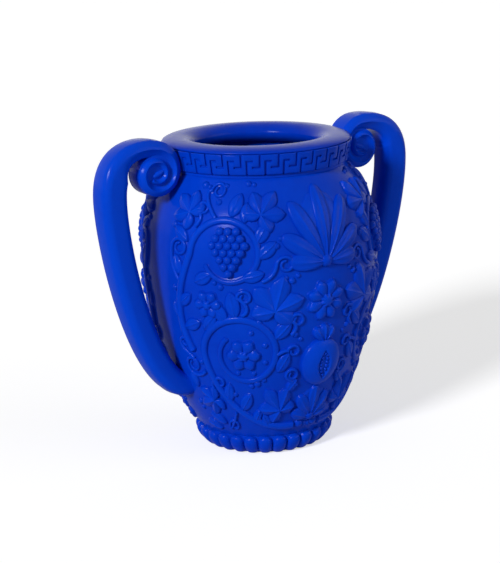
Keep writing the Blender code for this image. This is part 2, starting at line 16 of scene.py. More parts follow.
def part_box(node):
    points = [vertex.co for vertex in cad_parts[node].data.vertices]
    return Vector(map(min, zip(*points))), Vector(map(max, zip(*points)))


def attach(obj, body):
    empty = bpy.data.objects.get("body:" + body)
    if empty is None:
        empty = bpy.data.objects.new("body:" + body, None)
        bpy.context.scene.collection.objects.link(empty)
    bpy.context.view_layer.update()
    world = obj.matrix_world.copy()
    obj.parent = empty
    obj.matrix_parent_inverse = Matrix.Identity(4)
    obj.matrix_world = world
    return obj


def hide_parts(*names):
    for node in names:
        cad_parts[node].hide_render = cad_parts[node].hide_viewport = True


bl_info = {
    "name": "Amphora Vase",
    "version": (1, 0, 0),
    "blender": (4, 5, 0),
    "location": "3D View > Sidebar > Amphora",
    "description": "Models a glazed amphora with volute handles and a sprigged vine",
    "category": "Object",
}

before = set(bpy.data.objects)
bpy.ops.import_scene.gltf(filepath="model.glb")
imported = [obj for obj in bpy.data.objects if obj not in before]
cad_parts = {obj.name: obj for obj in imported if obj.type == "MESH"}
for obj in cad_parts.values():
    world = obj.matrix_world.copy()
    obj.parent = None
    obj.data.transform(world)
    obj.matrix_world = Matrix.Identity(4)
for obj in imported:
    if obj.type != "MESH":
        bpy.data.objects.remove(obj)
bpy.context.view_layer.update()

MM = 0.001
BODY = "root"
WELD = 0.001 * MM
PLAY = 0.3 * MM
SHARP_ANGLE = math.radians(40)
ROUND_STEPS = 192
WHITE = (1.0, 1.0, 1.0, 1.0)

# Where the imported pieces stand
FOOT_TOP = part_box("foot_ring")[1].z
BODY_LOW, BODY_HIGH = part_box("body_shell")
BAND_LOW, BAND_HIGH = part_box("meander_band")
LIP_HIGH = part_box("rim_lip")[1]
HANDLE_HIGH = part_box("handle_right")[1]

# Drawing of one half panel, in squares: across from its middle line, up from the foot. A stem is
# its width, its start, its two pulls, the centre that it rolls in round, its radius there, what is
# left of that after a turn, and its turns. A leaf is its middle, its size and its lean in degrees,
# a rosette its middle, its radius and its petals, a bunch or a fruit its middle and its size, and
# a fan its middle, its size, its fronds, how many degrees they spread and how broad they are
SQUARES_ROUND = 112
SQUARES_UP = 100
PANELS = (("front", False), ("back", True))
STEM_TAPER = 0.55
STEMS = (
    ("low_stem", 3.5, (6, 5.5), ((26, 3), (44, 16)), (30, 37), 15.5, 0.58, 1.15),
    ("high_stem", 3.1, (49.5, 36), ((57, 50), (52, 62)), (34, 73), 13.5, 0.6, 0.95),
)
LEAVES = (
    ("leaf_low", (18, 17), 14.5, 35),
    ("leaf_side", (47.5, 17), 11.5, 110),
    ("leaf_mid", (17.5, 57.5), 16.5, -15),
    ("leaf_top", (50.5, 88.5), 12.5, 50),
    ("leaf_crown", (20.5, 89), 13.5, -35),
)
ROSETTES = (
    ("rosette_low", (30, 37), 6.4, 6),
    ("rosette_mid", (41.5, 55.5), 5.2, 6),
)
HEART_ROSETTE = ((0, 55.5), 7.6, 8)
BUNCH = ((33.5, 74), (13.5, 16.5))
FRUIT = ((0, 34.5), (17, 23))
FANS = (
    ("calyx", (0, 15), (20, 15), 5, 150, 0.30),
    ("palmette", (0, 81), (26, 30), 7, 170, 0.25),
)

# Small clay between the sprigs. A tendril is drawn as a stem is. A leaflet is its heel, its length,
# its width and its lean in degrees. A berry is its middle and its radius, and stands out by
# BERRY_PROUD for each square of that. Their rises are shares of a stem's and of a leaf's
TENDRIL_WIDTH, TENDRIL_TAPER, BERRY_PROUD = 1.55, 0.7, 2.1 * MM
TENDRIL_RISE, LEAFLET_RISE = 0.8, 0.75
TENDRILS = (
    ((13, 44), ((11, 46), (10, 48)), (10.5, 49.5), 2.6, 0.5, 1.2),
    ((46, 30), ((49, 26), (55, 27)), (51.5, 31.5), 3.2, 0.5, 1.2),
    ((52, 63), ((54, 65), (56, 70)), (52, 74.5), 3.4, 0.52, 1.3),
    ((30, 52), ((27, 53), (27, 56)), (28.5, 58.5), 2.6, 0.5, 1.2),
    ((23, 64), ((19, 65), (18, 68)), (14.5, 69.5), 3.2, 0.5, 1.3),
    ((38, 85), ((41, 88), (45, 95)), (38.5, 95), 3.2, 0.5, 1.2),
    ((36, 13), ((38, 6), (43, 2)), (38.5, 6), 2.8, 0.5, 1.2),
    ((9, 24), ((12, 26), (14, 27)), (11.5, 28.5), 2.6, 0.5, 1.2),
    ((44, 22), ((45, 25), (44, 27)), (40.8, 25.5), 2.2, 0.5, 1.1),
    ((18, 37), ((16, 38), (14, 39)), (11.5, 38), 2.4, 0.5, 1.1),
    ((46, 82), ((44, 84), (43, 86)), (43.5, 88.5), 2.4, 0.5, 1.1),
    ((50, 34), ((52, 36), (56, 37)), (53.6, 40), 2.0, 0.5, 1.1),
)
LEAFLETS = (
    (33, 13.5, 9, 5, -32), (38.5, 17, 8.5, 4.6, -12), (20, 4.5, 8, 4.4, 25), (28, 7, 7.5, 4, -25),
    (43, 6.5, 9, 5, 60), (47, 3.5, 9, 5, 70), (52.5, 22, 7, 4, 12), (17.5, 30, 8.5, 4.8, -30),
    (18.5, 43, 8.5, 4.8, -42), (35.5, 49, 8, 4.6, 25), (44, 46, 8, 4.4, -40), (52, 46, 7.5, 4.4, -68),
    (53.2, 54, 7, 4, -48), (53.8, 49, 6.5, 3.4, 14), (32, 51, 9.5, 5, 8), (29, 65, 7.5, 4.4, -75),
    (23.5, 72, 8, 4.6, -48), (24, 77, 8, 4.6, -30), (33, 86, 9, 5, -24), (28, 84, 7, 4, -8),
    (48.5, 77, 7.5, 4.2, 52), (51.5, 65, 7.5, 4.2, 20), (46, 63, 7.5, 4.4, -62), (13.5, 21.5, 6.5, 3.8, -38),
)
BERRIES = (
    (48.6, 48.6, 1.1), (54.8, 60, 1.2), (11.2, 44.2, 1.3), (9.2, 42.2, 1.0), (25, 12, 1.2),
    (25.4, 25.4, 1.4), (27.8, 24.4, 1.1), (22.8, 27, 1.1), (36, 97, 1.1), (27, 98, 1.3),
    (24.6, 97.6, 1.0), (45.6, 97, 1.4), (43.4, 96.4, 1.0), (35.2, 20.6, 1.2), (47.6, 33, 1.2),
    (12.5, 63.8, 1.3), (14.6, 65, 1.0), (10.4, 65.4, 1.0), (55, 82, 1.3), (53.2, 80.6, 1.0),
    (36.6, 62, 1.3), (38.6, 63.4, 1.0), (55, 15, 1.3), (55, 12.2, 1.0), (17.4, 76, 1.3),
    (16, 78.4, 1.0), (26.9, 45.5, 1.15), (22, 40.7, 1.15), (22.1, 34.1, 1.1), (26.6, 29.7, 1.05),
    (32.7, 29.7, 1.0), (4.4, 5.4, 1.9), (1.2, 4.6, 1.4), (38, 91, 1.2), (24, 49.5, 1.2),
)

# A vine leaf's edge: its lobes and bays by turns, as degrees from its tip, shares of its length
# and how near each is to the ridge of a lobe. Then its length and how far its heel lies under its
# middle, as shares of its size, a tooth every so many degrees and its reach, how deep it folds
# between its lobes, how thick it is at its rim and how much it swells from there, and its veins,
# whose width is in squares
LEAF_EDGE = ((0, 1.0, 1), (27, 0.58, 0), (54, 0.86, 1), (84, 0.47, 0), (116, 0.64, 1), (180, 0.08, 0))
LEAF_LENGTH, LEAF_HEEL, LEAF_TOOTH, LEAF_TOOTH_REACH = 0.76, 0.24, 13.0, 0.05
LEAF_FOLD, LEAF_RIM, LEAF_SWELL, VEIN_HEIGHT, VEIN_WIDTH = 0.6, 0.32, 0.6, 1.0 * MM, 0.45

# The grapes of a bunch, row by row from its shoulders down, and their places in squares
GRAPE_ROWS = (3, 4, 5, 4, 3, 2, 1)
GRAPE_PITCH, GRAPE_STEP, GRAPE_RADIUS = 2.75, 2.35, 1.5

# How far the glaze's tone follows its clouds, its mottle and the crest attribute, which paints a highlight
# on the sprigs' crests and shade where they meet the wall, how thick it lies on the body, how much thinner,
# or thicker, elsewhere, and how large its marks are
CLOUD_TONE, MOTTLE_TONE, PAINTED_LIGHT_TONE, THICKNESS = 1.1, 0.35, 0.32, 0.22
THINNER = {"handle_glaze": 0.45, "lip_glaze": -0.3, "band_glaze": 0.05}
CLOUD_SIZE, RIPPLE_SIZE, MOTTLE_SIZE, GRAIN_SIZE = 90 * MM, 22 * MM, 7 * MM, 0.7 * MM

# One key of the band: a groove that rises and hooks forward, and one that falls and hooks back.
# Across in shares of the pitch, up in shares of the band. A key starts KEY_PLAIN before its first
# groove, and BAND_EDGE is left plain at the top and the bottom
RISING_HOOK, RISING_TOP = 0.33, 0.73
FALLING_STEM, FALLING_HOOK, FALLING_FOOT = 0.70, 0.43, 0.32
KEY_PLAIN, BAND_EDGE = 0.15, 0.04

# How each handle was bent, from the elbow up to the volute and down to its seat
Bend = namedtuple("Bend", "drop pull side_pull seat_pull seat_angle seat_height")
BENDS = {
    "right": Bend(51.3 * MM, 60.4 * MM, 68.3 * MM, 40.2 * MM, math.radians(5), 63.7 * MM),
    "left": Bend(56.2 * MM, 69.3 * MM, 56 * MM, 59.8 * MM, math.radians(-8), 66.5 * MM),
}

# The crease along a rolled strap: its place between the outer and the inner edge, how far the face
# dips to either side and how that dip curves, and how soon it fades below the volute
CREASE, CREASE_FADE = 0.5, 0.6
CREASE_OUTER_DIP, CREASE_OUTER_POWER = 5.5 * MM, 1.6
CREASE_INNER_DIP, CREASE_INNER_POWER = 6.5 * MM, 0.7

# How much of the volute's radius the slip between its turns fills, and the drop in its eye: half
# sizes, place and lean
CORE = 0.56
DROP_SIZE, DROP_SHIFT, DROP_LEAN = (7.6 * MM, 2.6 * MM, 2.9 * MM), 2.5 * MM, math.radians(23)

# A strap's steps: round one turn of its roll, out to the elbow, down to the seat and through its
# thickness. JOIN_STEPS are left free where the roll runs out and where the elbow begins. Behind the
# wall it goes on for two steps and spreads. Its corners take up no more than CORNER_SHARE of its
# thickness
SCROLL_STEPS, REACH_STEPS, DROP_STEPS, SIDE_STEPS, JOIN_STEPS = 64, 56, 64, 20, 8
SEAT_STEP, SEAT_SPREAD = 2.2 * MM, 0.05
CORNER_SHARE = 0.46

# The swell of a bead: its level on the foot, its reach above and below, as shares of the foot's
# height, how square it is across and along, and the steps that draw it
BEAD_MIDDLE, BEAD_UPPER_REACH, BEAD_LOWER_REACH = 0.52, 0.47, 0.62
BEAD_ACROSS_POWER, BEAD_ALONG_POWER, BEAD_STEPS = 2.2, 2.6, 16

# The thrown wall's curve: how it leaves the foot, passes the belly and reaches the shoulder
BASE_ANGLE, BASE_PULL = math.radians(56), 79 * MM
BELLY_LOWER_PULL, BELLY_UPPER_PULL = 30 * MM, 42 * MM
SHOULDER_ANGLE, SHOULDER_PULL = math.radians(49), 35.5 * MM

# How deep the slip round a sprig ends in the wall
SLIP_END = 0.1 * MM

# The lamps: how wide each one's light spreads, and where it stands round the vase and above it, in
# degrees. Then the width that the lens is given for, how far the camera sees, and half the floor
LAMPS = (("key", 12, -67, 25), ("side", 50, 42, 12))
FILM_WIDTH, SIGHT, FLOOR_HALF = 36.0, 100.0, 15.0


def length(name, description, default):
    return bpy.props.FloatProperty(
        name=name, description=description, default=default, min=0.0, precision=4, unit="LENGTH"
    )


def turn(name, description, degrees):
    return bpy.props.FloatProperty(
        name=name, description=description, default=math.radians(degrees), subtype="ANGLE"
    )


def share(name, description, default):
    return bpy.props.FloatProperty(
        name=name, description=description, default=default, min=0.0, max=1.0, subtype="FACTOR"
    )


def count(name, description, default):
    return bpy.props.IntProperty(name=name, description=description, default=default, min=1)


def colour(name, description, default):
    return bpy.props.FloatVectorProperty(
        name=name, description=description, default=default, size=3, min=0.0, max=1.0, subtype="COLOR"
    )


class FootSettings(bpy.types.PropertyGroup):
    bore: length("Bore", "Radius of the hollow under the foot", 50 * MM)
    land: length("Land", "Outer radius of the face that it stands on", 58.5 * MM)
    top: length("Top", "Outer radius under the body", 69.5 * MM)
    belly: length("Swell", "How far the side swells between the two", 2.5 * MM)
    bead_count: count("Beads", "How many beads go round the foot", 28)
    bead_proud: length("Bead height", "How far a bead stands out", 6 * MM)


class BodySettings(bpy.types.PropertyGroup):
    wall: length("Wall", "Thickness of the thrown wall", 6 * MM)
    floor: length("Floor", "Thickness of the floor", 8 * MM)
    base: length("Base radius", "Radius where the body meets the foot", 70.5 * MM)
    belly_rise: length("Belly level", "From the base up to the widest place", 185.7 * MM)
    shoulder_rise: length("Shoulder height", "From the widest place up to the neck", 91.3 * MM)
    shoulder: length("Shoulder radius", "Radius at the top of the shoulder", 92 * MM)
    ledge_proud: length("Ledge", "How far the ledge under the band stands out", 0.8 * MM)
    ledge_height: length("Ledge height", "Height of the ledge under the band", 3.4 * MM)
    neck: length("Neck", "Outer radius of the neck inside the band", 88 * MM)


class BandSettings(bpy.types.PropertyGroup):
    bottom: length("Bottom radius", "Outer radius of the band's lower edge", 96 * MM)
    edge: length("Edge", "Rounding of the band's edges", 0.9 * MM)
    key_count: count("Keys", "How many keys go round the band", 33)
    key_depth: length("Key depth", "Depth of the cut key pattern", 2.1 * MM)
    groove: share("Groove share", "Width of a groove as a share of one key", 0.125)
    key_turn: turn("Key turn", "Where the first key starts, from the right handle", 2.4)
    soft: length("Softening", "Rounding of the grooves' edges", 0.5 * MM)


class LipSettings(bpy.types.PropertyGroup):
    crest: length("Crest radius", "Radius of the lip's highest ring", 80.6 * MM)
    throat: length("Throat radius", "Radius of the mouth", 63.6 * MM)
    rise: length("Crown", "From the band's top up to the crest", 5.7 * MM)
    roll: length("Roll", "Half the height of the roll inside the mouth", 10.5 * MM)
    curl: turn("Curl", "How far the roll turns under inside", 245)


class HandleSettings(bpy.types.PropertyGroup):
    width: length("Strap width", "Width of the pulled strap", 32 * MM)
    thickness: length("Strap thickness", "Thickness at the widest reach of the handle", 28.5 * MM)
    low_thickness: length("Foot thickness", "Thickness where the strap meets the wall", 25 * MM)
    corner: length("Corner", "Rounding of the strap's corners", 9 * MM)
    crown: length("Crown", "Swell of the strap's faces", 0.8 * MM)
    scroll: length("Volute radius", "Radius at the top of the volute", 33.5 * MM)
    from_band: length("Eye", "From the band's rim out to the volute's eye", 26.5 * MM)
    clearance: length("Clearance", "Play between the volute's turns", 0.6 * MM)
    shrink: share("Shrink", "What is left of the radius after one turn", 0.48)
    turns: bpy.props.FloatProperty(
        name="Turns", description="How often the strap rolls round", default=1.62, min=0.5
    )
    groove: length("Groove", "Depth of the groove between the volute's turns", 4.6 * MM)


class VineSettings(bpy.types.PropertyGroup):
    panel: turn("Panel", "How far one panel reaches round the body", 158)
    stem_rise: length("Stem height", "How far a stem stands out", 4.2 * MM)
    leaf_rise: length("Leaf height", "How far a leaf stands out", 4.8 * MM)
    rosette_rise: length("Rosette height", "How far a rosette stands out", 5.4 * MM)
    grape_rise: length("Grape height", "How far a bunch stands out", 7.5 * MM)
    fruit_rise: length("Fruit height", "How far a pomegranate stands out", 10 * MM)
    flare: bpy.props.FloatProperty(
        name="Flare", description="Slip smoothed out round a sprig, in squares", default=0.4
    )
    flare_rise: length("Flare height", "Thickness of that slip at the sprig", 0.35 * MM)
    root: length("Root", "How deep a sprig is pressed into the wall", 1.2 * MM)


class GlazeSettings(bpy.types.PropertyGroup):
    # Deep blue also serves as the painted shade at the sprigs' feet, and bright blue as the painted
    # highlight on their crests
    deep: colour("Deep blue", "Glaze where it lies thick", (0.0, 0.027, 0.42))
    bright: colour("Bright blue", "Glaze where it lies thin", (0.0, 0.052, 0.60))
    roughness: share("Roughness", "Satin of the glaze", 0.2)
    gloss: share("Gloss", "Strength of the glaze's reflection", 0.055)
    ripple: length("Ripple", "Height of the unevenness left by the fingers", 0.25 * MM)
    grain: length("Grain", "Height of the fine grain", 0.03 * MM)


class StageSettings(bpy.types.PropertyGroup):
    distance: length("Distance", "From the vase's axis to the camera", 1.7117)
    height: length("Height", "Height of the camera above the floor", 0.5993)
    azimuth: turn("Azimuth", "How far the camera stands round to the left", 32.676)
    pitch: turn("Pitch", "How far the camera looks down", 14.04)
    yaw: turn("Yaw", "How far the camera looks past the axis", -0.361)
    roll: turn("Roll", "How far the camera leans", -1.711)
    lens: bpy.props.FloatProperty(
        name="Lens", description="Focal length", default=106.04, unit="CAMERA"
    )
    key: bpy.props.FloatProperty(name="Key", description="Strength of the key light", default=2.65)
    side: bpy.props.FloatProperty(name="Side", description="Strength of the side light", default=0.75)
    fill: bpy.props.FloatProperty(
        name="Fill", description="Strength of the light from all round", default=0.18
    )
    floor: colour("Floor", "Colour of the floor", (0.70, 0.70, 0.705))
    floor_glow: share("Floor glow", "Paleness that the floor adds for the camera", 0.6)


SETTINGS = {
    "amphora_foot": FootSettings,
    "amphora_body": BodySettings,
    "amphora_band": BandSettings,
    "amphora_lip": LipSettings,
    "amphora_handle": HandleSettings,
    "amphora_vine": VineSettings,
    "amphora_glaze": GlazeSettings,
    "amphora_stage": StageSettings,
}


class Tone:
    """One output of a shader node. Sums, differences and products of tones add Math nodes."""

    def __init__(self, nodes, socket):
        self.nodes = nodes
        self.socket = socket

    def math(self, operation, first, second):
        return self.nodes.add("ShaderNodeMath", {"operation": operation}, {0: first, 1: second})

    def __add__(self, other):
        return self.math("ADD", self, other)

    def __sub__(self, other):
        return self.math("SUBTRACT", self, other)

    def __rsub__(self, other):
        return self.math("SUBTRACT", other, self)

    def __mul__(self, other):
        return self.math("MULTIPLY", self, other)

    __radd__ = __add__
    __rmul__ = __mul__


class Nodes:
    """A node tree, with one way to add a node to it."""

    def __init__(self, tree):
        self.tree = tree

    def feed(self, socket, value):
        if isinstance(value, Tone):
            self.tree.links.new(value.socket, socket)
        else:
            socket.default_value = value

    def set(self, node, inputs):
        for key, value in inputs.items():
            self.feed(node.inputs[key], value)

    def add(self, kind, settings, inputs, output=0):
        node = self.tree.nodes.new(kind)
        for key, value in settings.items():
            setattr(node, key, value)
        self.set(node, inputs)
        return Tone(self, node.outputs[output])


def glaze(name, thinner):
    """Satin cobalt glaze: cloudy where it ran thick or thin, with a painted highlight on crests and painted
    shade where sprigs meet the wall, faintly rippled.
    """
    settings = bpy.context.scene.amphora_glaze
    material = bpy.data.materials.new(name)
    material.use_nodes = True
    nodes = Nodes(material.node_tree)
    shader = material.node_tree.nodes["Principled BSDF"]
    place = nodes.add("ShaderNodeTexCoord", {}, {}, "Object")

    def noise(size, detail):
        inputs = {"Vector": place, "Scale": 1 / size, "Detail": detail}
        return nodes.add("ShaderNodeTexNoise", {}, inputs)

    clouds = noise(CLOUD_SIZE, 3.0)
    mottle = noise(MOTTLE_SIZE, 2.0)
    grain = noise(GRAIN_SIZE, 2.0)
    ripple = noise(RIPPLE_SIZE, 1.0)
    # The crest attribute is painted light: a painted highlight on the sprigs' crests and painted shade at
    # their feet, where they meet the wall
    crest = nodes.add("ShaderNodeAttribute", {"attribute_name": "crest"}, {}, "Fac")
    tone = clouds * CLOUD_TONE + mottle * MOTTLE_TONE + crest * PAINTED_LIGHT_TONE - (THICKNESS - thinner)
    mixed = nodes.add(
        "ShaderNodeMix",
        {"data_type": "RGBA"},
        {"Factor": tone, "A": (*settings.deep, 1.0), "B": (*settings.bright, 1.0)},
        "Result",
    )
    satin = mottle * 0.10 + grain * 0.06 + (settings.roughness - 0.08)
    height = ripple * settings.ripple + mottle * (settings.ripple * 0.3) + grain * settings.grain
    bump = nodes.add("ShaderNodeBump", {}, {"Height": height, "Strength": 1.0, "Distance": 1.0})
    nodes.set(shader, {"Base Color": mixed, "Roughness": satin, "Normal": bump})
    shader.inputs["Specular IOR Level"].default_value = settings.gloss
    material.diffuse_color = (*settings.bright, 1.0)
    return material


def glaze_for(slot):
    """The glaze of one material slot, made once, under a name that the frame doesn't use."""
    name = "cobalt_" + slot
    return bpy.data.materials.get(name) or glaze(name, THINNER.get(slot, 0.0))


def finish_piece(shape, name, slot, *nodes):
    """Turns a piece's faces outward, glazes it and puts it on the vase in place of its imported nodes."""
    bmesh.ops.recalc_face_normals(shape, faces=shape.faces)
    mesh = bpy.data.meshes.new(name)
    shape.to_mesh(mesh)
    shape.free()
    mesh.shade_smooth()
    mesh.set_sharp_from_angle(angle=SHARP_ANGLE)
    mesh.materials.append(glaze_for(slot))
    piece = bpy.data.objects.new(name, mesh)
    bpy.context.scene.collection.objects.link(piece)
    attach(piece, BODY)
    if nodes:
        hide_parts(*nodes)


def turned(profile, steps=ROUND_STEPS, closed=False):
    """A profile of (radius, height) points, spun round the axis."""
    shape = bmesh.new()
    corners = [shape.verts.new((radius, 0.0, height)) for radius, height in profile]
    edges = [shape.edges.new(pair) for pair in zip(corners, corners[1:])]
    if closed:
        edges.append(shape.edges.new((corners[-1], corners[0])))
    bmesh.ops.spin(
        shape, geom=corners + edges, axis=(0, 0, 1), angle=math.tau, steps=steps, use_merge=True
    )
    bmesh.ops.remove_doubles(shape, verts=shape.verts, dist=WELD)
    return shape


def sheet(shape, columns, rows, place):
    """Adds a sheet of clay whose corner (i, j) goes where place says, with its crest tone of painted light:
    a painted highlight on crests and painted shade at the wall.
    Edges and ends that meet are welded."""
    # The crest layer holds painted light: a painted highlight on crests and painted shade at the wall
    crest = shape.verts.layers.float.get("crest") or shape.verts.layers.float.new("crest")
    made = bmesh.ops.create_grid(shape, x_segments=columns, y_segments=rows, size=0.5)["verts"]
    for corner in made:
        i = round((corner.co.x + 0.5) * columns)
        j = round((corner.co.y + 0.5) * rows)
        corner.co, corner[crest] = place(i, j)
    bmesh.ops.remove_doubles(shape, verts=made, dist=WELD)


def bezier(start, start_pull, end_pull, end, points):
    """Points of one cubic curve in a plane, with both ends."""
    knots = [Vector((x, y, 0)) for x, y in (start, start_pull, end_pull, end)]
    return [(point.x, point.y) for point in interpolate_bezier(*knots, points)]


def arc(middle, radius, start, end, steps):
    """Points on an ellipse, between two angles in degrees. radius is across and up."""
    angles = [math.radians(start + (end - start) * i / steps) for i in range(steps + 1)]
    return [
        (middle[0] + radius[0] * math.cos(angle), middle[1] + radius[1] * math.sin(angle))
        for angle in angles
    ]


def rounding(x, z, radius, start, end, steps):
    """Points round an edge whose middle is (x, z), between two angles in degrees."""
    return arc((x, z), (radius, radius), start, end, steps)


def heading(points, i):
    """Which way a line runs at one of its points, with a length of 1."""
    before = points[max(i - 1, 0)]
    after = points[min(i + 1, len(points) - 1)]
    run = math.dist(before[:2], after[:2])
    return (after[0] - before[0]) / run, (after[1] - before[1]) / run


def reaches(points):
    """How far each point lies along its line."""
    marks = [0.0]
    for before, after in zip(points, points[1:]):
        marks.append(marks[-1] + math.dist(before, after))
    return marks


def dome(part, power=2):
    """How high a dome stands that share of the way out: 1 in its middle, and 0 from its edge on."""
    return math.sqrt(max(0.0, 1 - part**power))


def bell(aside, width):
    """How high a soft ridge stands that far beside its top."""
    return math.exp(-((aside / width) ** 2))


def clamp(value, low=0.0, high=1.0):
    return min(high, max(low, value))


def from_up(angle, reach):
    """A place that far out, at an angle from straight up."""
    return reach * math.sin(angle), reach * math.cos(angle)


def wall_curve(lower=64, upper=44):
    """The outside of the body, from its base up to the top of the shoulder."""
    body = bpy.context.scene.amphora_body
    base = (body.base, BODY_LOW.z)
    belly = (BODY_HIGH.x, BODY_LOW.z + body.belly_rise)
    top = (body.shoulder, belly[1] + body.shoulder_rise)
    base_pull = (
        base[0] + BASE_PULL * math.cos(BASE_ANGLE),
        base[1] + BASE_PULL * math.sin(BASE_ANGLE),
    )
    top_pull = (
        top[0] + SHOULDER_PULL * math.cos(SHOULDER_ANGLE),
        top[1] - SHOULDER_PULL * math.sin(SHOULDER_ANGLE),
    )
    below = bezier(base, base_pull, (belly[0], belly[1] - BELLY_LOWER_PULL), belly, lower)
    above = bezier(belly, (belly[0], belly[1] + BELLY_UPPER_PULL), top_pull, top, upper)
    return below + above[1:]


def offset(points, distance):
    """The curve moved sideways, towards the right-hand side of its run."""
    moved = []
    for i, (x, z) in enumerate(points):
        run_x, run_z = heading(points, i)
        moved.append((x + distance * run_z, z - distance * run_x))
    return moved


class AMPHORA_OT_foot(bpy.types.Operator):
    """Turn the foot ring and press its row of egg-shaped beads"""

    bl_idname = "amphora.foot"
    bl_label = "Foot Ring"

    def execute(self, context):
        foot = context.scene.amphora_foot
        height = FOOT_TOP
        edge = 1.2 * MM
        top_row, low_row, rows = 0.985, 0.05, 30
        profile = [(foot.bore, height), (foot.top - edge, height)]
        for i in range(rows + 1):
            up = top_row + (low_row - top_row) * i / rows
            swell = foot.belly * math.sin(math.pi * up)
            profile.append((foot.land + (foot.top - foot.land) * up + swell, height * up))
        profile += rounding(foot.land - edge, edge, edge, 0, -90, 4)
        profile += rounding(foot.bore + edge, edge, edge, -90, -180, 4)
        shape = turned(profile, foot.bead_count * BEAD_STEPS, closed=True)
        inside = foot.land - 0.5 * MM
        for corner in shape.verts:
            radius = math.hypot(corner.co.x, corner.co.y)
            if radius > inside and corner.co.z > edge / 2:
                angle = math.atan2(corner.co.y, corner.co.x)
                push = self.bead(foot, angle, corner.co.z / height)
                corner.co.x *= 1 + push / radius
                corner.co.y *= 1 + push / radius
        finish_piece(shape, "beaded_foot", "foot_glaze", "foot_ring")
        return {"FINISHED"}

    @staticmethod
    def bead(foot, angle, up):
        """How far the wall stands out in beads: an egg shape, blunt at its top."""
        across = abs(2 * ((angle * foot.bead_count / math.tau) % 1.0) - 1)
        along = abs(up - BEAD_MIDDLE) / (BEAD_UPPER_REACH if up > BEAD_MIDDLE else BEAD_LOWER_REACH)
        swell = 1 - across**BEAD_ACROSS_POWER - along**BEAD_ALONG_POWER
        return foot.bead_proud * math.sqrt(max(0.0, swell))


class AMPHORA_OT_body(bpy.types.Operator):
    """Throw the body: wall, shoulder, ledge, neck, inside and floor"""

    bl_idname = "amphora.body"
    bl_label = "Body"

    def execute(self, context):
        body = context.scene.amphora_body
        wall = wall_curve()
        belly_z = BODY_LOW.z + body.belly_rise
        shoulder_z = wall[-1][1]
        ledge_z = shoulder_z + body.ledge_height
        inner_neck = body.neck - body.wall
        floor_z = BODY_LOW.z + body.floor
        corner = 3 * body.wall
        inside = []
        for radius, height in offset(wall_curve(40, 30), -body.wall):
            above_floor = height > floor_z + corner
            if above_floor and (height < belly_z or radius > inner_neck):
                inside.append((radius, height))
        foot_of_wall = inside[0][0] - corner
        edge = body.ledge_proud * 0.6
        ledge = body.shoulder + body.ledge_proud - edge
        profile = [(0.0, BODY_LOW.z)] + wall
        profile += rounding(ledge, shoulder_z + edge, edge, -60, 0, 4)
        profile += rounding(ledge, ledge_z - edge, edge, 0, 90, 4)
        profile += [(body.neck, ledge_z), (body.neck, BAND_HIGH.z)]
        profile += [(inner_neck, BAND_HIGH.z), (inner_neck, shoulder_z - body.wall / 3)]
        profile += reversed(inside)
        profile += arc((foot_of_wall, floor_z + corner), (corner * 0.8, corner), -10, -90, 8)
        profile += [(0.0, floor_z)]
        finish_piece(turned(profile), "thrown_body", "body_glaze", "body_shell")
        return {"FINISHED"}


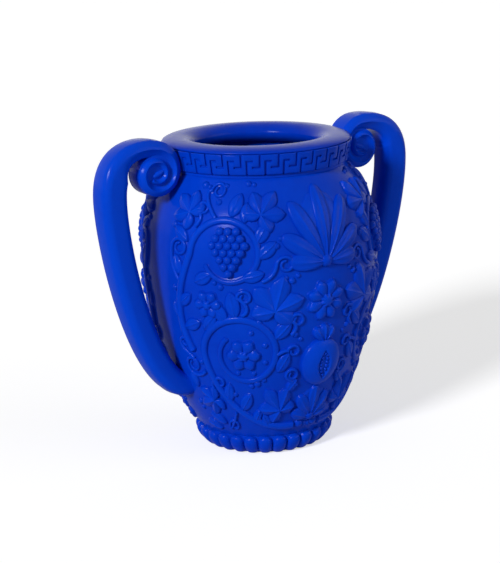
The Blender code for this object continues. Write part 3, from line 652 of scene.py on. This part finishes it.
class AMPHORA_OT_band(bpy.types.Operator):
    """Make the band and cut the key pattern round it"""

    bl_idname = "amphora.band"
    bl_label = "Key Band"

    def execute(self, context):
        band = context.scene.amphora_band
        top, bottom = BAND_HIGH.x, band.bottom
        mean = (top + bottom) / 2
        pitch = math.tau * mean / band.key_count
        lean = Vector((0, top - bottom, BAND_HIGH.z - BAND_LOW.z))
        grooves = self.grooves(band, pitch / lean.length)
        columns = sorted({-KEY_PLAIN, 1 - KEY_PLAIN} | {u for cut in grooves for u in cut[:2]})
        levels = sorted({BAND_EDGE, 1 - BAND_EDGE} | {v for cut in grooves for v in cut[2:] if 0 < v < 1})
        bore = context.scene.amphora_body.neck + PLAY
        edge = band.edge
        section = [(bore, BAND_LOW.z), (bottom - 2 * edge, BAND_LOW.z)]
        section += rounding(bottom - edge, BAND_LOW.z + edge, edge, -90, -5, 3)
        for level in levels:
            section.append((bottom + lean.y * level, BAND_LOW.z + lean.z * level))
        section += rounding(top - edge, BAND_HIGH.z - edge, edge, 10, 90, 3)
        section += [(top - 2.5 * edge, BAND_HIGH.z), (bore, BAND_HIGH.z)]
        section.append(section[0])
        shape = bmesh.new()

        def place(i, j):
            radius, height = section[j]
            return Vector((columns[i] * pitch, radius, height)), 0.0

        sheet(shape, len(columns) - 1, len(section) - 1, place)
        self.cut_key(shape, band, grooves, pitch, lean)
        self.wrap(shape, band, mean)
        finish_piece(shape, "key_band", "band_glaze", "meander_band")
        return {"FINISHED"}

    @staticmethod
    def grooves(band, stretch):
        """The four cuts of one key: left, right, foot and top. Across in shares of the pitch,
        up in shares of the band. stretch is one pitch in shares of the band."""
        half, tall = band.groove / 2, band.groove * stretch
        return (
            (-half, half, 0.0, RISING_TOP),
            (-half, RISING_HOOK, RISING_TOP - tall, RISING_TOP),
            (FALLING_STEM - half, FALLING_STEM + half, FALLING_FOOT, 1.0),
            (FALLING_STEM - FALLING_HOOK, FALLING_STEM + half, FALLING_FOOT, FALLING_FOOT + tall),
        )

    @staticmethod
    def cut_key(shape, band, cuts, pitch, lean):
        """Sinks the two hooked grooves of one key and softens their edges."""
        face_of_band, floor_of_groove = band.bottom - 2 * band.edge, band.bottom - 3 * band.key_depth
        steep = math.radians(50)
        grooves = []
        for face in shape.faces:
            middle = face.calc_center_median()
            u, v = middle.x / pitch, (middle.z - BAND_LOW.z) / lean.z
            if middle.y > face_of_band:
                if any(left < u < right and foot < v < top for left, right, foot, top in cuts):
                    grooves.append(face)
        inward = Vector((0, -lean.z, lean.y)).normalized()
        sunk = bmesh.ops.extrude_face_region(shape, geom=grooves)["geom"]
        bmesh.ops.delete(shape, geom=[face for face in grooves if face.is_valid], context="FACES_ONLY")
        moved = [item for item in sunk if isinstance(item, bmesh.types.BMVert)]
        bmesh.ops.translate(shape, verts=moved, vec=inward * band.key_depth)
        floors = {item for item in sunk if isinstance(item, bmesh.types.BMFace)}
        edges = []
        for side in shape.edges:
            is_edge = len(side.link_faces) == 2 and side.calc_face_angle(0.0) > steep
            on_slope = all(corner.co.y > floor_of_groove for corner in side.verts)
            on_top = abs(side.verts[0].co.z - BAND_HIGH.z) <= 0.01 * MM
            if is_edge and on_slope and not on_top and not floors.issuperset(side.link_faces):
                edges.append(side)
        bmesh.ops.bevel(
            shape,
            geom=edges,
            offset=band.soft,
            segments=2,
            profile=0.5,
            affect="EDGES",
            clamp_overlap=True,
            material=-1,
        )

    @staticmethod
    def wrap(shape, band, radius):
        """Repeats the one key and bends the row of them round the neck."""
        unit = shape.verts[:] + shape.edges[:] + shape.faces[:]
        pitch = math.tau * radius / band.key_count
        for i in range(1, band.key_count):
            made = bmesh.ops.duplicate(shape, geom=unit)["geom"]
            corners = [item for item in made if isinstance(item, bmesh.types.BMVert)]
            bmesh.ops.translate(shape, verts=corners, vec=(i * pitch, 0, 0))
        for corner in shape.verts:
            angle = band.key_turn + corner.co.x / radius
            reach = corner.co.y
            corner.co = Vector((reach * math.cos(angle), reach * math.sin(angle), corner.co.z))
        bmesh.ops.remove_doubles(shape, verts=shape.verts, dist=10 * WELD)


class AMPHORA_OT_lip(bpy.types.Operator):
    """Turn the rolled lip with its crowned top and round throat"""

    bl_idname = "amphora.lip"
    bl_label = "Rolled Lip"

    def execute(self, context):
        lip = context.scene.amphora_lip
        body = context.scene.amphora_body
        edge = context.scene.amphora_band.edge
        outer = LIP_HIGH.x
        plug = body.neck - body.wall - PLAY
        roll = (lip.crest - lip.throat, lip.roll)
        crest_z = LIP_HIGH.z
        low_z = crest_z - lip.rise
        degrees = math.degrees(lip.curl)
        profile = arc((lip.crest, crest_z - lip.roll), roll, degrees, 90, 30)
        crown = arc((lip.crest, low_z + edge), (outer - lip.crest, lip.rise - edge), 90, 0, 16)
        profile += crown[1:]
        profile += rounding(outer - edge, low_z + edge, edge, -20, -90, 3)
        profile += [(plug, low_z), (plug, profile[0][1])]
        finish_piece(turned(profile, closed=True), "rolled_lip", "lip_glaze", "rim_lip")
        return {"FINISHED"}


class AMPHORA_OT_handles(bpy.types.Operator):
    """Pull both strap handles and roll their tops up into volutes"""

    bl_idname = "amphora.handles"
    bl_label = "Handles"

    def execute(self, context):
        handle = context.scene.amphora_handle
        for name, bend in BENDS.items():
            shape = self.strap(handle, bend)
            self.eye(shape, handle)
            if name == "left":
                half_round = Matrix.Rotation(math.pi, 3, "Z")
                bmesh.ops.rotate(shape, verts=shape.verts, cent=(0, 0, 0), matrix=half_round)
            finish_piece(shape, f"volute_handle_{name}", "handle_glaze", f"handle_{name}")
        return {"FINISHED"}

    @staticmethod
    def middle(handle):
        """The volute's eye in the plane of the handle."""
        return BAND_HIGH.x + handle.from_band, HANDLE_HIGH.z - handle.scroll

    def stations(self, handle, bend):
        """The strap's outer face as (x, z, thickness, how much it is rolled), from the eye down."""
        eye_x, eye_z = self.middle(handle)
        stations = []
        steps = round(handle.turns * SCROLL_STEPS)
        for i in range(steps, -1, -1):
            rolled = handle.turns * i / steps
            angle = math.pi / 2 + math.tau * rolled
            radius = handle.scroll * handle.shrink**rolled
            thickness = radius * (1 - handle.shrink) - handle.clearance
            x, z = eye_x + radius * math.cos(angle), eye_z + radius * math.sin(angle)
            stations.append((x, z, thickness, 1.0))
        top = (eye_x, HANDLE_HIGH.z)
        elbow = (HANDLE_HIGH.x, HANDLE_HIGH.z - bend.drop)
        thin = stations[-1][2]
        curve = bezier(top, top, (elbow[0], elbow[1] + bend.pull), elbow, REACH_STEPS)[JOIN_STEPS:]
        for i, (x, z) in enumerate(curve, 1):
            eased = min(1.0, i / (len(curve) - JOIN_STEPS)) ** 2
            thickness = thin + (handle.thickness - thin) * eased
            stations.append((x, z, thickness, 1 - eased**CREASE_FADE))
        seat_z = bend.seat_height
        seat_x = next(radius for radius, height in wall_curve() if height >= seat_z)
        run = Vector((math.cos(bend.seat_angle), math.sin(bend.seat_angle)))
        seat_pull = (seat_x + bend.seat_pull * run.x, seat_z + bend.seat_pull * run.y)
        side_pull = (elbow[0], elbow[1] - bend.side_pull)
        side = bezier(elbow, side_pull, seat_pull, (seat_x, seat_z), DROP_STEPS)
        for i, (x, z) in enumerate(side[1:], 1):
            part = i / (len(side) - 1)
            thickness = handle.thickness + (handle.low_thickness - handle.thickness) * part
            stations.append((x, z, thickness, 0.0))
        for step in (1, 2):
            sunk = SEAT_STEP * step
            spread = handle.low_thickness * (1 + SEAT_SPREAD * step)
            stations.append((seat_x - sunk * run.x, seat_z - sunk * run.y, spread, 0.0))
        return stations

    @staticmethod
    def section(handle, thickness, rolled):
        """The strap's section as (across, through) points, down its front side and up its back.
        A plain strap has round corners. A rolled one has a crease that dips to the next turn."""
        corner = min(handle.corner, CORNER_SHARE * thickness)
        depth = min(1.0, (thickness / (handle.scroll * (1 - handle.shrink))) ** 0.5)
        side = []
        for i in range(SIDE_STEPS + 1):
            part = i / SIDE_STEPS
            angle = math.pi / 2 * (1 - 2 * part)
            through = math.copysign(thickness / 2 - corner * (1 - abs(math.sin(angle))), angle)
            plain = Vector((corner * (math.cos(angle) - 1), through))
            down = (1 - math.cos(math.pi * part)) / 2
            if down < CREASE:
                dip = CREASE_OUTER_DIP * (1 - down / CREASE) ** CREASE_OUTER_POWER
            else:
                dip = CREASE_INNER_DIP * ((down - CREASE) / (1 - CREASE)) ** CREASE_INNER_POWER
            creased = Vector((-dip * depth, thickness * (0.5 - down)))
            mixed = plain.lerp(creased, rolled)
            side.append((handle.width / 2 + mixed.x, mixed.y))
        crown = handle.crown * thickness / handle.thickness
        other = [(-across, through) for across, through in reversed(side)]
        return side + [(0.0, -thickness / 2 - crown)] + other + [(0.0, thickness / 2 + crown)]

    def strap(self, handle, bend):
        """The strap as a ring of clay drawn out along its stations."""
        stations = self.stations(handle, bend)
        shape = bmesh.new()
        sides = len(self.section(handle, handle.thickness, 0.0))
        ring = bmesh.ops.create_circle(shape, segments=sides, radius=handle.width, cap_ends=False)["verts"]
        for i, (x, z, thickness, rolled) in enumerate(stations):
            run_x, run_z = heading(stations, i)
            inward = Vector((run_z, 0, -run_x))
            middle = Vector((x, 0, z)) + inward * thickness / 2
            if i:
                inside = set(ring)
                edges = dict.fromkeys(edge for corner in ring for edge in corner.link_edges)
                edges = [edge for edge in edges if inside.issuperset(edge.verts)]
                made = bmesh.ops.extrude_edge_only(shape, edges=edges)["geom"]
                fresh = {item for item in made if isinstance(item, bmesh.types.BMVert)}
                ring = [self.partner(corner, fresh) for corner in ring]
            for corner, (across, through) in zip(ring, self.section(handle, thickness, rolled)):
                corner.co = middle + Vector((0, across, 0)) - inward * through
        bmesh.ops.holes_fill(shape, edges=[edge for edge in shape.edges if edge.is_boundary], sides=0)
        return shape

    @staticmethod
    def partner(corner, fresh):
        """The new corner that a corner was drawn out to."""
        ends = (edge.other_vert(corner) for edge in corner.link_edges)
        return next(end for end in ends if end in fresh)

    def eye(self, shape, handle):
        """The slip that fuses the volute's turns, and the drop that the roll ends in on each face."""
        eye_x, eye_z = self.middle(handle)
        centre = Matrix.Translation((eye_x, 0, eye_z))
        bmesh.ops.create_cone(
            shape,
            cap_ends=True,
            segments=64,
            radius1=handle.scroll * CORE,
            radius2=handle.scroll * CORE,
            depth=handle.width - 2 * handle.groove,
            matrix=centre @ Matrix.Rotation(math.pi / 2, 4, "X"),
        )
        for face in (-1, 1):
            place = Matrix.Translation((-DROP_SHIFT, face * (handle.width / 2 - handle.groove), 0))
            lean = Matrix.Rotation(DROP_LEAN, 4, "Y")
            size = Matrix.Diagonal((*DROP_SIZE, 1.0))
            bmesh.ops.create_uvsphere(
                shape, u_segments=32, v_segments=20, radius=1.0, matrix=centre @ place @ lean @ size
            )


class Wall:
    """The outside of the vase as a sheet of squares: across from a panel's middle, up from the foot.
    back turns it to the other panel, and side is -1 for a panel's left half."""

    def __init__(self, vine, back=False, side=1):
        self.vine = vine
        self.curve = wall_curve()
        self.turn = math.pi if back else 0.0
        self.side = side
        self.marks = reaches(self.curve)

    def place(self, across, up, proud):
        reached = self.marks[-1] * clamp(up / SQUARES_UP)
        i = clamp(bisect_right(self.marks, reached) - 1, 0, len(self.marks) - 2)
        (r0, z0), (r1, z1) = self.curve[i], self.curve[i + 1]
        run = self.marks[i + 1] - self.marks[i]
        part = (reached - self.marks[i]) / run
        radius = r0 + (r1 - r0) * part + proud * (z1 - z0) / run
        height = z0 + (z1 - z0) * part - proud * (r1 - r0) / run
        angle = self.side * across / SQUARES_ROUND * self.vine.panel + self.turn
        return Vector((radius * math.sin(angle), -radius * math.cos(angle), height))


def painted_light_tone(proud, peak):
    """The crest tone of a place, which is painted light: a painted highlight of 1 at the peak, and painted
    shade of -1 at the wall and below it.
    """
    return clamp(2 * proud / peak - 1, -1.0)


def pillow(shape, wall, middle, outline, top, steps=72, rows=12):
    """Presses one crowned sprig on the wall. outline gives its edge, as squares from its middle,
    at an angle from straight up, and top its height at an angle and a share of the way out."""
    vine = wall.vine
    peak = max(top(0.0, part / 4) for part in range(4))

    def place(i, j):
        angle = math.tau * i / steps
        across, up = outline(angle)
        flare = vine.flare / math.hypot(across, up)
        if j <= rows:
            stretch = math.sin(math.pi / 2 * j / rows)
            proud = top(angle, stretch)
        else:
            slip = ((0.4 * flare, vine.flare_rise), (flare, -SLIP_END), (flare, -vine.root))
            wider, proud = (*slip, (-1, -vine.root))[j - rows - 1]
            stretch = 1 + wider
        spot = wall.place(middle[0] + across * stretch, middle[1] + up * stretch, proud)
        # The crest tone paints a highlight on the sprig's top and shade at its foot
        return spot, painted_light_tone(proud, peak)

    sheet(shape, steps, rows + 4, place)


def ridge(shape, wall, line, width, rise, taper):
    """Presses a round ridge of clay along a line of squares, thinning towards its tip."""
    vine = wall.vine
    angles = [math.pi * i / 8 for i in range(9)]
    arch = [(-math.cos(angle), math.sin(angle) ** 0.8) for angle in angles]
    reach = reaches(line)
    last = len(arch) + 3

    def place(i, j):
        run_u, run_v = heading(line, i)
        scale = 1 - (1 - taper) * reach[i] / reach[-1]
        to_end = min(reach[i], reach[-1] - reach[i]) / (width * scale / 2)
        blunt = dome(1 - min(1.0, to_end))
        half = width / 2 * scale * blunt
        slip_edge = half + vine.flare * blunt
        if 2 <= j <= last - 2:
            across, height = arch[j - 2]
            aside = across * half
            proud = vine.flare_rise + (rise * scale - vine.flare_rise) * height * blunt
        elif j in (1, last - 1):
            aside = -slip_edge if j == 1 else slip_edge
            proud = -SLIP_END
        else:
            aside = slip_edge if j == last else -slip_edge
            proud = -vine.root
        if blunt == 0.0:
            aside, proud = 0.0, -vine.root
        spot = wall.place(line[i][0] + run_v * aside, line[i][1] - run_u * aside, proud)
        # The crest tone paints a highlight on the ridge's top and shade at its foot
        return spot, painted_light_tone(proud, rise)

    sheet(shape, len(line) - 1, last + 1, place)


def crowned(rise, edge=0.35, power=3.0):
    """The height of a plain pillow: round at its edge and nearly flat on top."""

    def top(angle, part):
        return rise * (edge + (1 - edge) * dome(part, power))

    return top


def scroll_line(start, pulls, centre, radius, shrink, turns):
    """A stem that rises from its start and rolls in round a centre, in squares."""
    line = bezier(start, pulls[0], pulls[1], (centre[0] + radius, centre[1]), 30)[:-1]
    steps = round(turns * 44)
    for i in range(steps + 1):
        rolled = turns * i / steps
        angle = math.tau * rolled
        reach = radius * shrink**rolled
        line.append((centre[0] + reach * math.cos(angle), centre[1] + reach * math.sin(angle)))
    return line


def leaf_edge(angle):
    """How far a leaf reaches at an angle from its tip, as a share of its length, how near that is
    to the ridge of a lobe, and the angle between the two."""
    aside = min(180.0, abs(math.degrees(math.remainder(angle, math.tau))))
    for (start, near, near_lobe), (end, far, far_lobe) in zip(LEAF_EDGE, LEAF_EDGE[1:]):
        if aside <= end:
            break
    lobe = near_lobe + (far_lobe - near_lobe) * (aside - start) / (end - start)
    tooth = LEAF_TOOTH_REACH * (1 - (aside / LEAF_TOOTH) % 1.0) * (1 - lobe)
    reach = min(near, far) + abs(far - near) * lobe**0.8 + tooth
    return reach, lobe, math.radians((1 - lobe) * (end - start))


def vine_leaf(shape, wall, middle, size, degrees, rise):
    """A lobed leaf, pointed and toothed, with folds between its lobes and a vein along each."""
    way = math.radians(degrees)
    long = LEAF_LENGTH * size
    back_x, back_y = from_up(way, LEAF_HEEL * size)

    def outline(angle):
        return from_up(angle + way, long * leaf_edge(angle)[0])

    def top(angle, part):
        reach, lobe, aside = leaf_edge(angle)
        fold = 1 - LEAF_FOLD * part * (1 - lobe) ** 2.2
        vein = VEIN_HEIGHT * bell(long * reach * part * math.sin(aside), VEIN_WIDTH) * (1 - part**6)
        crown = LEAF_RIM + LEAF_SWELL * dome(part, 4)
        return rise * crown * fold + vein

    pillow(shape, wall, (middle[0] - back_x, middle[1] - back_y), outline, top, steps=180, rows=16)


def rosette(shape, wall, middle, radius, petals, rise):
    """A flower with a boss in a ring of cupped petals."""
    boss, boss_edge, boss_swell = 0.30, 0.72, 0.38
    cup_middle, cup_heel = 0.45, 0.62
    cleft, petal_edge, petal_swell = 0.35, 0.22, 0.68

    def outline(angle):
        return from_up(angle, radius * (0.9 - 0.1 * math.cos(petals * angle)))

    def top(angle, part):
        if part < boss:
            return rise * (boss_edge + boss_swell * dome(part / boss))
        petal = cleft + (1 - cleft) * abs(math.sin(petals * angle / 2)) ** 0.7
        out = (part - boss) / (1 - boss)
        if out > cup_middle:
            cup = dome(2 * (out - cup_middle), 3)
        else:
            cup = cup_heel + (1 - cup_heel) * out / cup_middle
        return rise * (petal_edge + petal_swell * cup * petal)

    pillow(shape, wall, middle, outline, top, steps=petals * 14, rows=18)


def frond(shape, wall, heel, size, degrees, rise, pointed=False):
    """One frond that grows from its heel in a direction measured from straight up, with a rib
    between two hollows. Its tip is round, or pointed as a small leaf's."""
    way = math.radians(degrees)
    long, wide = size
    half_x, half_y = from_up(way, long / 2)
    swell = crowned(rise, edge=0.3, power=2.4)
    rib_height, rib_width = 0.30, 0.09 * wide
    hollow_depth, hollow_width = 0.22, 0.26 * wide

    def outline(angle):
        taper = abs(math.sin(angle)) ** 0.5 if pointed else 1.2 * abs(math.cos(angle / 2)) ** 0.9
        across = wide / 2 * math.sin(angle) * taper
        along_x, along_y = from_up(way, long / 2 * math.cos(angle))
        return across * math.cos(way) + along_x, along_y - across * math.sin(way)

    def top(angle, part):
        aside = wide / 2 * abs(math.sin(angle)) * part
        rib = rib_height * bell(aside, rib_width) - hollow_depth * bell(aside, hollow_width)
        return swell(angle, part) + rise * rib * (1 - part**4)

    pillow(shape, wall, (heel[0] + half_x, heel[1] + half_y), outline, top, steps=44, rows=10)


def ball(shape, wall, place, radius, proud, segments=16):
    """A round berry, pressed in until proud is left of it. place and radius are in squares."""
    square = BODY_HIGH.x * wall.vine.panel / SQUARES_ROUND
    size = radius * square
    bmesh.ops.create_uvsphere(
        shape,
        u_segments=segments,
        v_segments=segments * 5 // 8,
        radius=size,
        matrix=Matrix.Translation(wall.place(*place, proud - size)),
    )


def grape_bunch(shape, wall, middle, size, rise):
    """A hanging bunch: rows of grapes packed on a low mound, wide at its shoulders."""
    width, height = size
    mound, side_fall, end_fall = 0.5, 0.30, 0.12

    def outline(angle):
        taper = 0.36 + 0.11 * math.cos(angle)
        return width * taper * math.sin(angle), 0.46 * height * math.cos(angle)

    pillow(shape, wall, middle, outline, crowned(rise * mound), steps=56, rows=8)
    top_row = (len(GRAPE_ROWS) - 1) / 2 * GRAPE_STEP
    for row, grapes in enumerate(GRAPE_ROWS):
        up = top_row - row * GRAPE_STEP
        for i in range(grapes):
            across = (i - (grapes - 1) / 2) * GRAPE_PITCH
            swell = 1 - side_fall * (2 * across / width) ** 2 - end_fall * (2 * up / height) ** 2
            ball(shape, wall, (middle[0] + across, middle[1] + up), GRAPE_RADIUS, rise * swell)


def pomegranate(shape, wall, middle, size, rise):
    """A round fruit, split to show its seeds, with a crown of three points."""
    width, height = size
    centre = (middle[0], middle[1] - 0.1 * height)
    slit_wide, slit_tall, slit_deep, slit_steep = 0.15 * width, 0.24 * height, 2.6 * MM, 5
    seed_rows, seed_step, seed_radius, seed_sunk = 3, 0.25 * slit_tall, 0.62, 0.9 * MM
    seed_aside, seed_lift = 0.48, 0.12 * slit_tall
    point_lean, point_size, point_rise = 34, (0.29 * height, 0.24 * width), 0.55 * rise
    plain = crowned(rise, edge=0.2, power=2.2)

    def outline(angle):
        return width / 2 * math.sin(angle), 0.4 * height * math.cos(angle)

    def top(angle, part):
        across, up = outline(angle)
        lens = 1 - (abs(across * part) / slit_wide) - (up * part / slit_tall) ** 2
        return plain(angle, part) - slit_deep * clamp(lens * slit_steep)

    pillow(shape, wall, centre, outline, top, steps=96, rows=22)
    for row in range(-seed_rows, seed_rows + 1):
        up = row * seed_step
        room = slit_wide * (1 - (up / slit_tall) ** 2)
        for across in (-seed_aside, seed_aside) if abs(row) < seed_rows else (0.0,):
            spot = (centre[0] + across * room, centre[1] + up + seed_lift * (across > 0))
            ball(shape, wall, spot, seed_radius, rise - seed_sunk, segments=12)
    point_heel = (middle[0], middle[1] + 0.24 * height)
    for degrees in (-point_lean, point_lean, 0):
        frond(shape, wall, point_heel, point_size, degrees, point_rise)


def palmette(shape, wall, middle, size, fronds, spread, broad, rise):
    """A fan of drop-shaped fronds on a heel with a boss."""
    width, height = size
    heel = (middle[0], middle[1] - 0.40 * height)
    mound, boss, boss_rise, shortest = 0.34, 0.10 * width, 1.25 * rise, 0.42 * height

    def outline(angle):
        taper = 0.279 + 0.081 * math.cos(angle)
        return width * taper * math.sin(angle), 0.42 * height * math.cos(angle)

    pillow(shape, wall, middle, outline, crowned(rise * mound), steps=56, rows=6)
    for i in range(fronds):
        degrees = spread * (i / (fronds - 1) - 0.5)
        way = math.radians(degrees)
        reach = math.hypot(width / 2 * math.sin(way), 0.9 * height * math.cos(way))
        frond(shape, wall, heel, (max(shortest, reach), width * broad), degrees, rise)
    ball(shape, wall, (heel[0], heel[1] + 0.02 * height), boss, boss_rise)


def panels(vine):
    """Both panels, each as the pattern of its pieces' names and its wall."""
    for panel, back in PANELS:
        yield panel + "_{}", Wall(vine, back)


def half_panels(vine):
    """The four half panels in the same way."""
    for panel, back in PANELS:
        for hand, side in (("left", -1), ("right", 1)):
            yield f"{panel}_{{}}_{hand}", Wall(vine, back, side)


def press(node, draw, wall, *drawing):
    """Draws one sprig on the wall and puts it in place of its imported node."""
    shape = bmesh.new()
    draw(shape, wall, *drawing)
    finish_piece(shape, "sprig_" + node, "sprig_glaze", node)


class AMPHORA_OT_stems(bpy.types.Operator):
    """Lay the scrolling stems of the vine"""

    bl_idname = "amphora.stems"
    bl_label = "Stems"

    def execute(self, context):
        vine = context.scene.amphora_vine
        for names, wall in half_panels(vine):
            for label, width, *drawing in STEMS:
                line = scroll_line(*drawing)
                press(names.format(label), ridge, wall, line, width, vine.stem_rise, STEM_TAPER)
        return {"FINISHED"}


class AMPHORA_OT_leaves(bpy.types.Operator):
    """Press on the vine leaves"""

    bl_idname = "amphora.leaves"
    bl_label = "Leaves"

    def execute(self, context):
        vine = context.scene.amphora_vine
        for names, wall in half_panels(vine):
            for label, *drawing in LEAVES:
                press(names.format(label), vine_leaf, wall, *drawing, vine.leaf_rise)
        return {"FINISHED"}


class AMPHORA_OT_rosettes(bpy.types.Operator):
    """Press on the rosettes"""

    bl_idname = "amphora.rosettes"
    bl_label = "Rosettes"

    def execute(self, context):
        vine = context.scene.amphora_vine
        for names, wall in half_panels(vine):
            for label, *drawing in ROSETTES:
                press(names.format(label), rosette, wall, *drawing, vine.rosette_rise)
        for names, wall in panels(vine):
            press(names.format("heart_rosette"), rosette, wall, *HEART_ROSETTE, vine.rosette_rise)
        return {"FINISHED"}


class AMPHORA_OT_fruit(bpy.types.Operator):
    """Press on the pomegranates and the bunches of grapes"""

    bl_idname = "amphora.fruit"
    bl_label = "Fruit"

    def execute(self, context):
        vine = context.scene.amphora_vine
        for names, wall in panels(vine):
            press(names.format("pomegranate"), pomegranate, wall, *FRUIT, vine.fruit_rise)
        for names, wall in half_panels(vine):
            press(names.format("grapes"), grape_bunch, wall, *BUNCH, vine.grape_rise)
        return {"FINISHED"}


class AMPHORA_OT_palmettes(bpy.types.Operator):
    """Press on the calyx and the palmette on each panel's middle line"""

    bl_idname = "amphora.palmettes"
    bl_label = "Palmettes"

    def execute(self, context):
        vine = context.scene.amphora_vine
        for names, wall in panels(vine):
            for label, *drawing in FANS:
                press(names.format(label), palmette, wall, *drawing, vine.leaf_rise)
        return {"FINISHED"}


class AMPHORA_OT_tendrils(bpy.types.Operator):
    """Lay the tendrils, leaflets and loose berries between the larger sprigs"""

    bl_idname = "amphora.tendrils"
    bl_label = "Tendrils, Leaflets and Berries"

    def execute(self, context):
        vine = context.scene.amphora_vine
        tendril_rise, leaflet_rise = vine.stem_rise * TENDRIL_RISE, vine.leaf_rise * LEAFLET_RISE
        for names, wall in half_panels(vine):
            tendrils, leaflets, berries = bmesh.new(), bmesh.new(), bmesh.new()
            for drawing in TENDRILS:
                line = scroll_line(*drawing)
                ridge(tendrils, wall, line, TENDRIL_WIDTH, tendril_rise, TENDRIL_TAPER)
            for u, v, long, wide, degrees in LEAFLETS:
                frond(leaflets, wall, (u, v), (long, wide), degrees, leaflet_rise, pointed=True)
            for u, v, radius in BERRIES:
                ball(berries, wall, (u, v), radius, radius * BERRY_PROUD)
            for label, made in (("tendrils", tendrils), ("leaflets", leaflets), ("berries", berries)):
                finish_piece(made, names.format(label), "sprig_glaze")
        return {"FINISHED"}


class AMPHORA_OT_stage(bpy.types.Operator):
    """Lay the pale floor, hang the lights and set the camera at the photograph's angle"""

    bl_idname = "amphora.stage"
    bl_label = "Stage"

    def execute(self, context):
        stage = context.scene.amphora_stage
        self.camera(context.scene, stage)
        self.floor(context.scene, stage)
        self.lights(context.scene, stage)
        context.scene.view_settings.view_transform = "Standard"
        return {"FINISHED"}

    @staticmethod
    def camera(scene, stage):
        ahead = Vector((0, 1, 0))
        ahead.rotate(Matrix.Rotation(-stage.pitch, 3, "X"))
        ahead.rotate(Matrix.Rotation(-stage.yaw, 3, "Z"))
        right = Vector((math.cos(stage.yaw), -math.sin(stage.yaw), 0))
        up = right.cross(ahead)
        leaning = Matrix.Rotation(stage.roll, 3, -ahead)
        axes = Matrix((leaning @ right, leaning @ up, -ahead)).transposed()
        round_axis = Matrix.Rotation(-stage.azimuth, 3, "Z")
        data = bpy.data.cameras.new("photo_camera")
        data.lens = stage.lens
        data.sensor_width = FILM_WIDTH
        data.clip_end = SIGHT
        camera = bpy.data.objects.new("photo_camera", data)
        camera.matrix_world = (round_axis @ axes).to_4x4()
        camera.location = round_axis @ Vector((0, -stage.distance, stage.height))
        scene.collection.objects.link(camera)
        scene.camera = camera

    @staticmethod
    def floor(scene, stage):
        shape = bmesh.new()
        bmesh.ops.create_grid(shape, x_segments=1, y_segments=1, size=FLOOR_HALF)
        mesh = bpy.data.meshes.new("floor")
        shape.to_mesh(mesh)
        shape.free()
        material = bpy.data.materials.new("floor_paper")
        material.use_nodes = True
        nodes = Nodes(material.node_tree)
        shader = material.node_tree.nodes["Principled BSDF"]
        seen = nodes.add("ShaderNodeLightPath", {}, {}, "Is Camera Ray")
        nodes.set(shader, {"Base Color": (*stage.floor, 1.0), "Roughness": 1.0, "Specular IOR Level": 0.0})
        nodes.set(shader, {"Emission Color": WHITE, "Emission Strength": seen * stage.floor_glow})
        mesh.materials.append(material)
        floor = bpy.data.objects.new("floor", mesh)
        scene.collection.objects.link(floor)

    @staticmethod
    def lights(scene, stage):
        for name, spread, azimuth, elevation in LAMPS:
            data = bpy.data.lights.new(name + "_light", "SUN")
            data.energy = getattr(stage, name)
            data.angle = math.radians(spread)
            lamp = bpy.data.objects.new(name + "_light", data)
            back = Vector((0, -1, 0))
            back.rotate(Matrix.Rotation(-math.radians(elevation), 3, "X"))
            back.rotate(Matrix.Rotation(math.radians(azimuth), 3, "Z"))
            lamp.rotation_euler = back.to_track_quat("Z", "Y").to_euler()
            scene.collection.objects.link(lamp)
        world = bpy.data.worlds.new("studio")
        world.use_nodes = True
        scene.world = world
        nodes = Nodes(world.node_tree)
        background = world.node_tree.nodes["Background"]
        seen = nodes.add("ShaderNodeLightPath", {}, {}, "Is Camera Ray")
        glossy = nodes.add("ShaderNodeLightPath", {}, {}, "Is Glossy Ray")
        through = nodes.add("ShaderNodeLightPath", {}, {}, "Is Transmission Ray")
        direct = seen.math("MAXIMUM", seen.math("MAXIMUM", seen, glossy), through)
        nodes.set(background, {"Color": WHITE, "Strength": direct + (1 - direct) * stage.fill})


OPERATORS = (
    AMPHORA_OT_foot,
    AMPHORA_OT_body,
    AMPHORA_OT_band,
    AMPHORA_OT_lip,
    AMPHORA_OT_handles,
    AMPHORA_OT_stems,
    AMPHORA_OT_leaves,
    AMPHORA_OT_rosettes,
    AMPHORA_OT_fruit,
    AMPHORA_OT_palmettes,
    AMPHORA_OT_tendrils,
    AMPHORA_OT_stage,
)


class AMPHORA_PT_panel(bpy.types.Panel):
    """The vase's pieces and their sizes"""

    bl_idname = "AMPHORA_PT_panel"
    bl_label = "Amphora"
    bl_space_type = "VIEW_3D"
    bl_region_type = "UI"
    bl_category = "Amphora"

    def draw(self, context):
        for operator in OPERATORS:
            self.layout.operator(operator.bl_idname)
        for name, group in SETTINGS.items():
            box = self.layout.box()
            box.label(text=group.__name__.replace("Settings", ""))
            for size in group.__annotations__:
                box.prop(getattr(context.scene, name), size)


CLASSES = (*SETTINGS.values(), *OPERATORS, AMPHORA_PT_panel)


def register():
    for cls in CLASSES:
        bpy.utils.register_class(cls)
    for name, group in SETTINGS.items():
        setattr(bpy.types.Scene, name, bpy.props.PointerProperty(type=group))


def unregister():
    for name in SETTINGS:
        delattr(bpy.types.Scene, name)
    for cls in reversed(CLASSES):
        bpy.utils.unregister_class(cls)


def main():
    register()
    for operator in OPERATORS:
        group, name = operator.bl_idname.split(".")
        getattr(getattr(bpy.ops, group), name)()


if __name__ == "__main__":
    main()
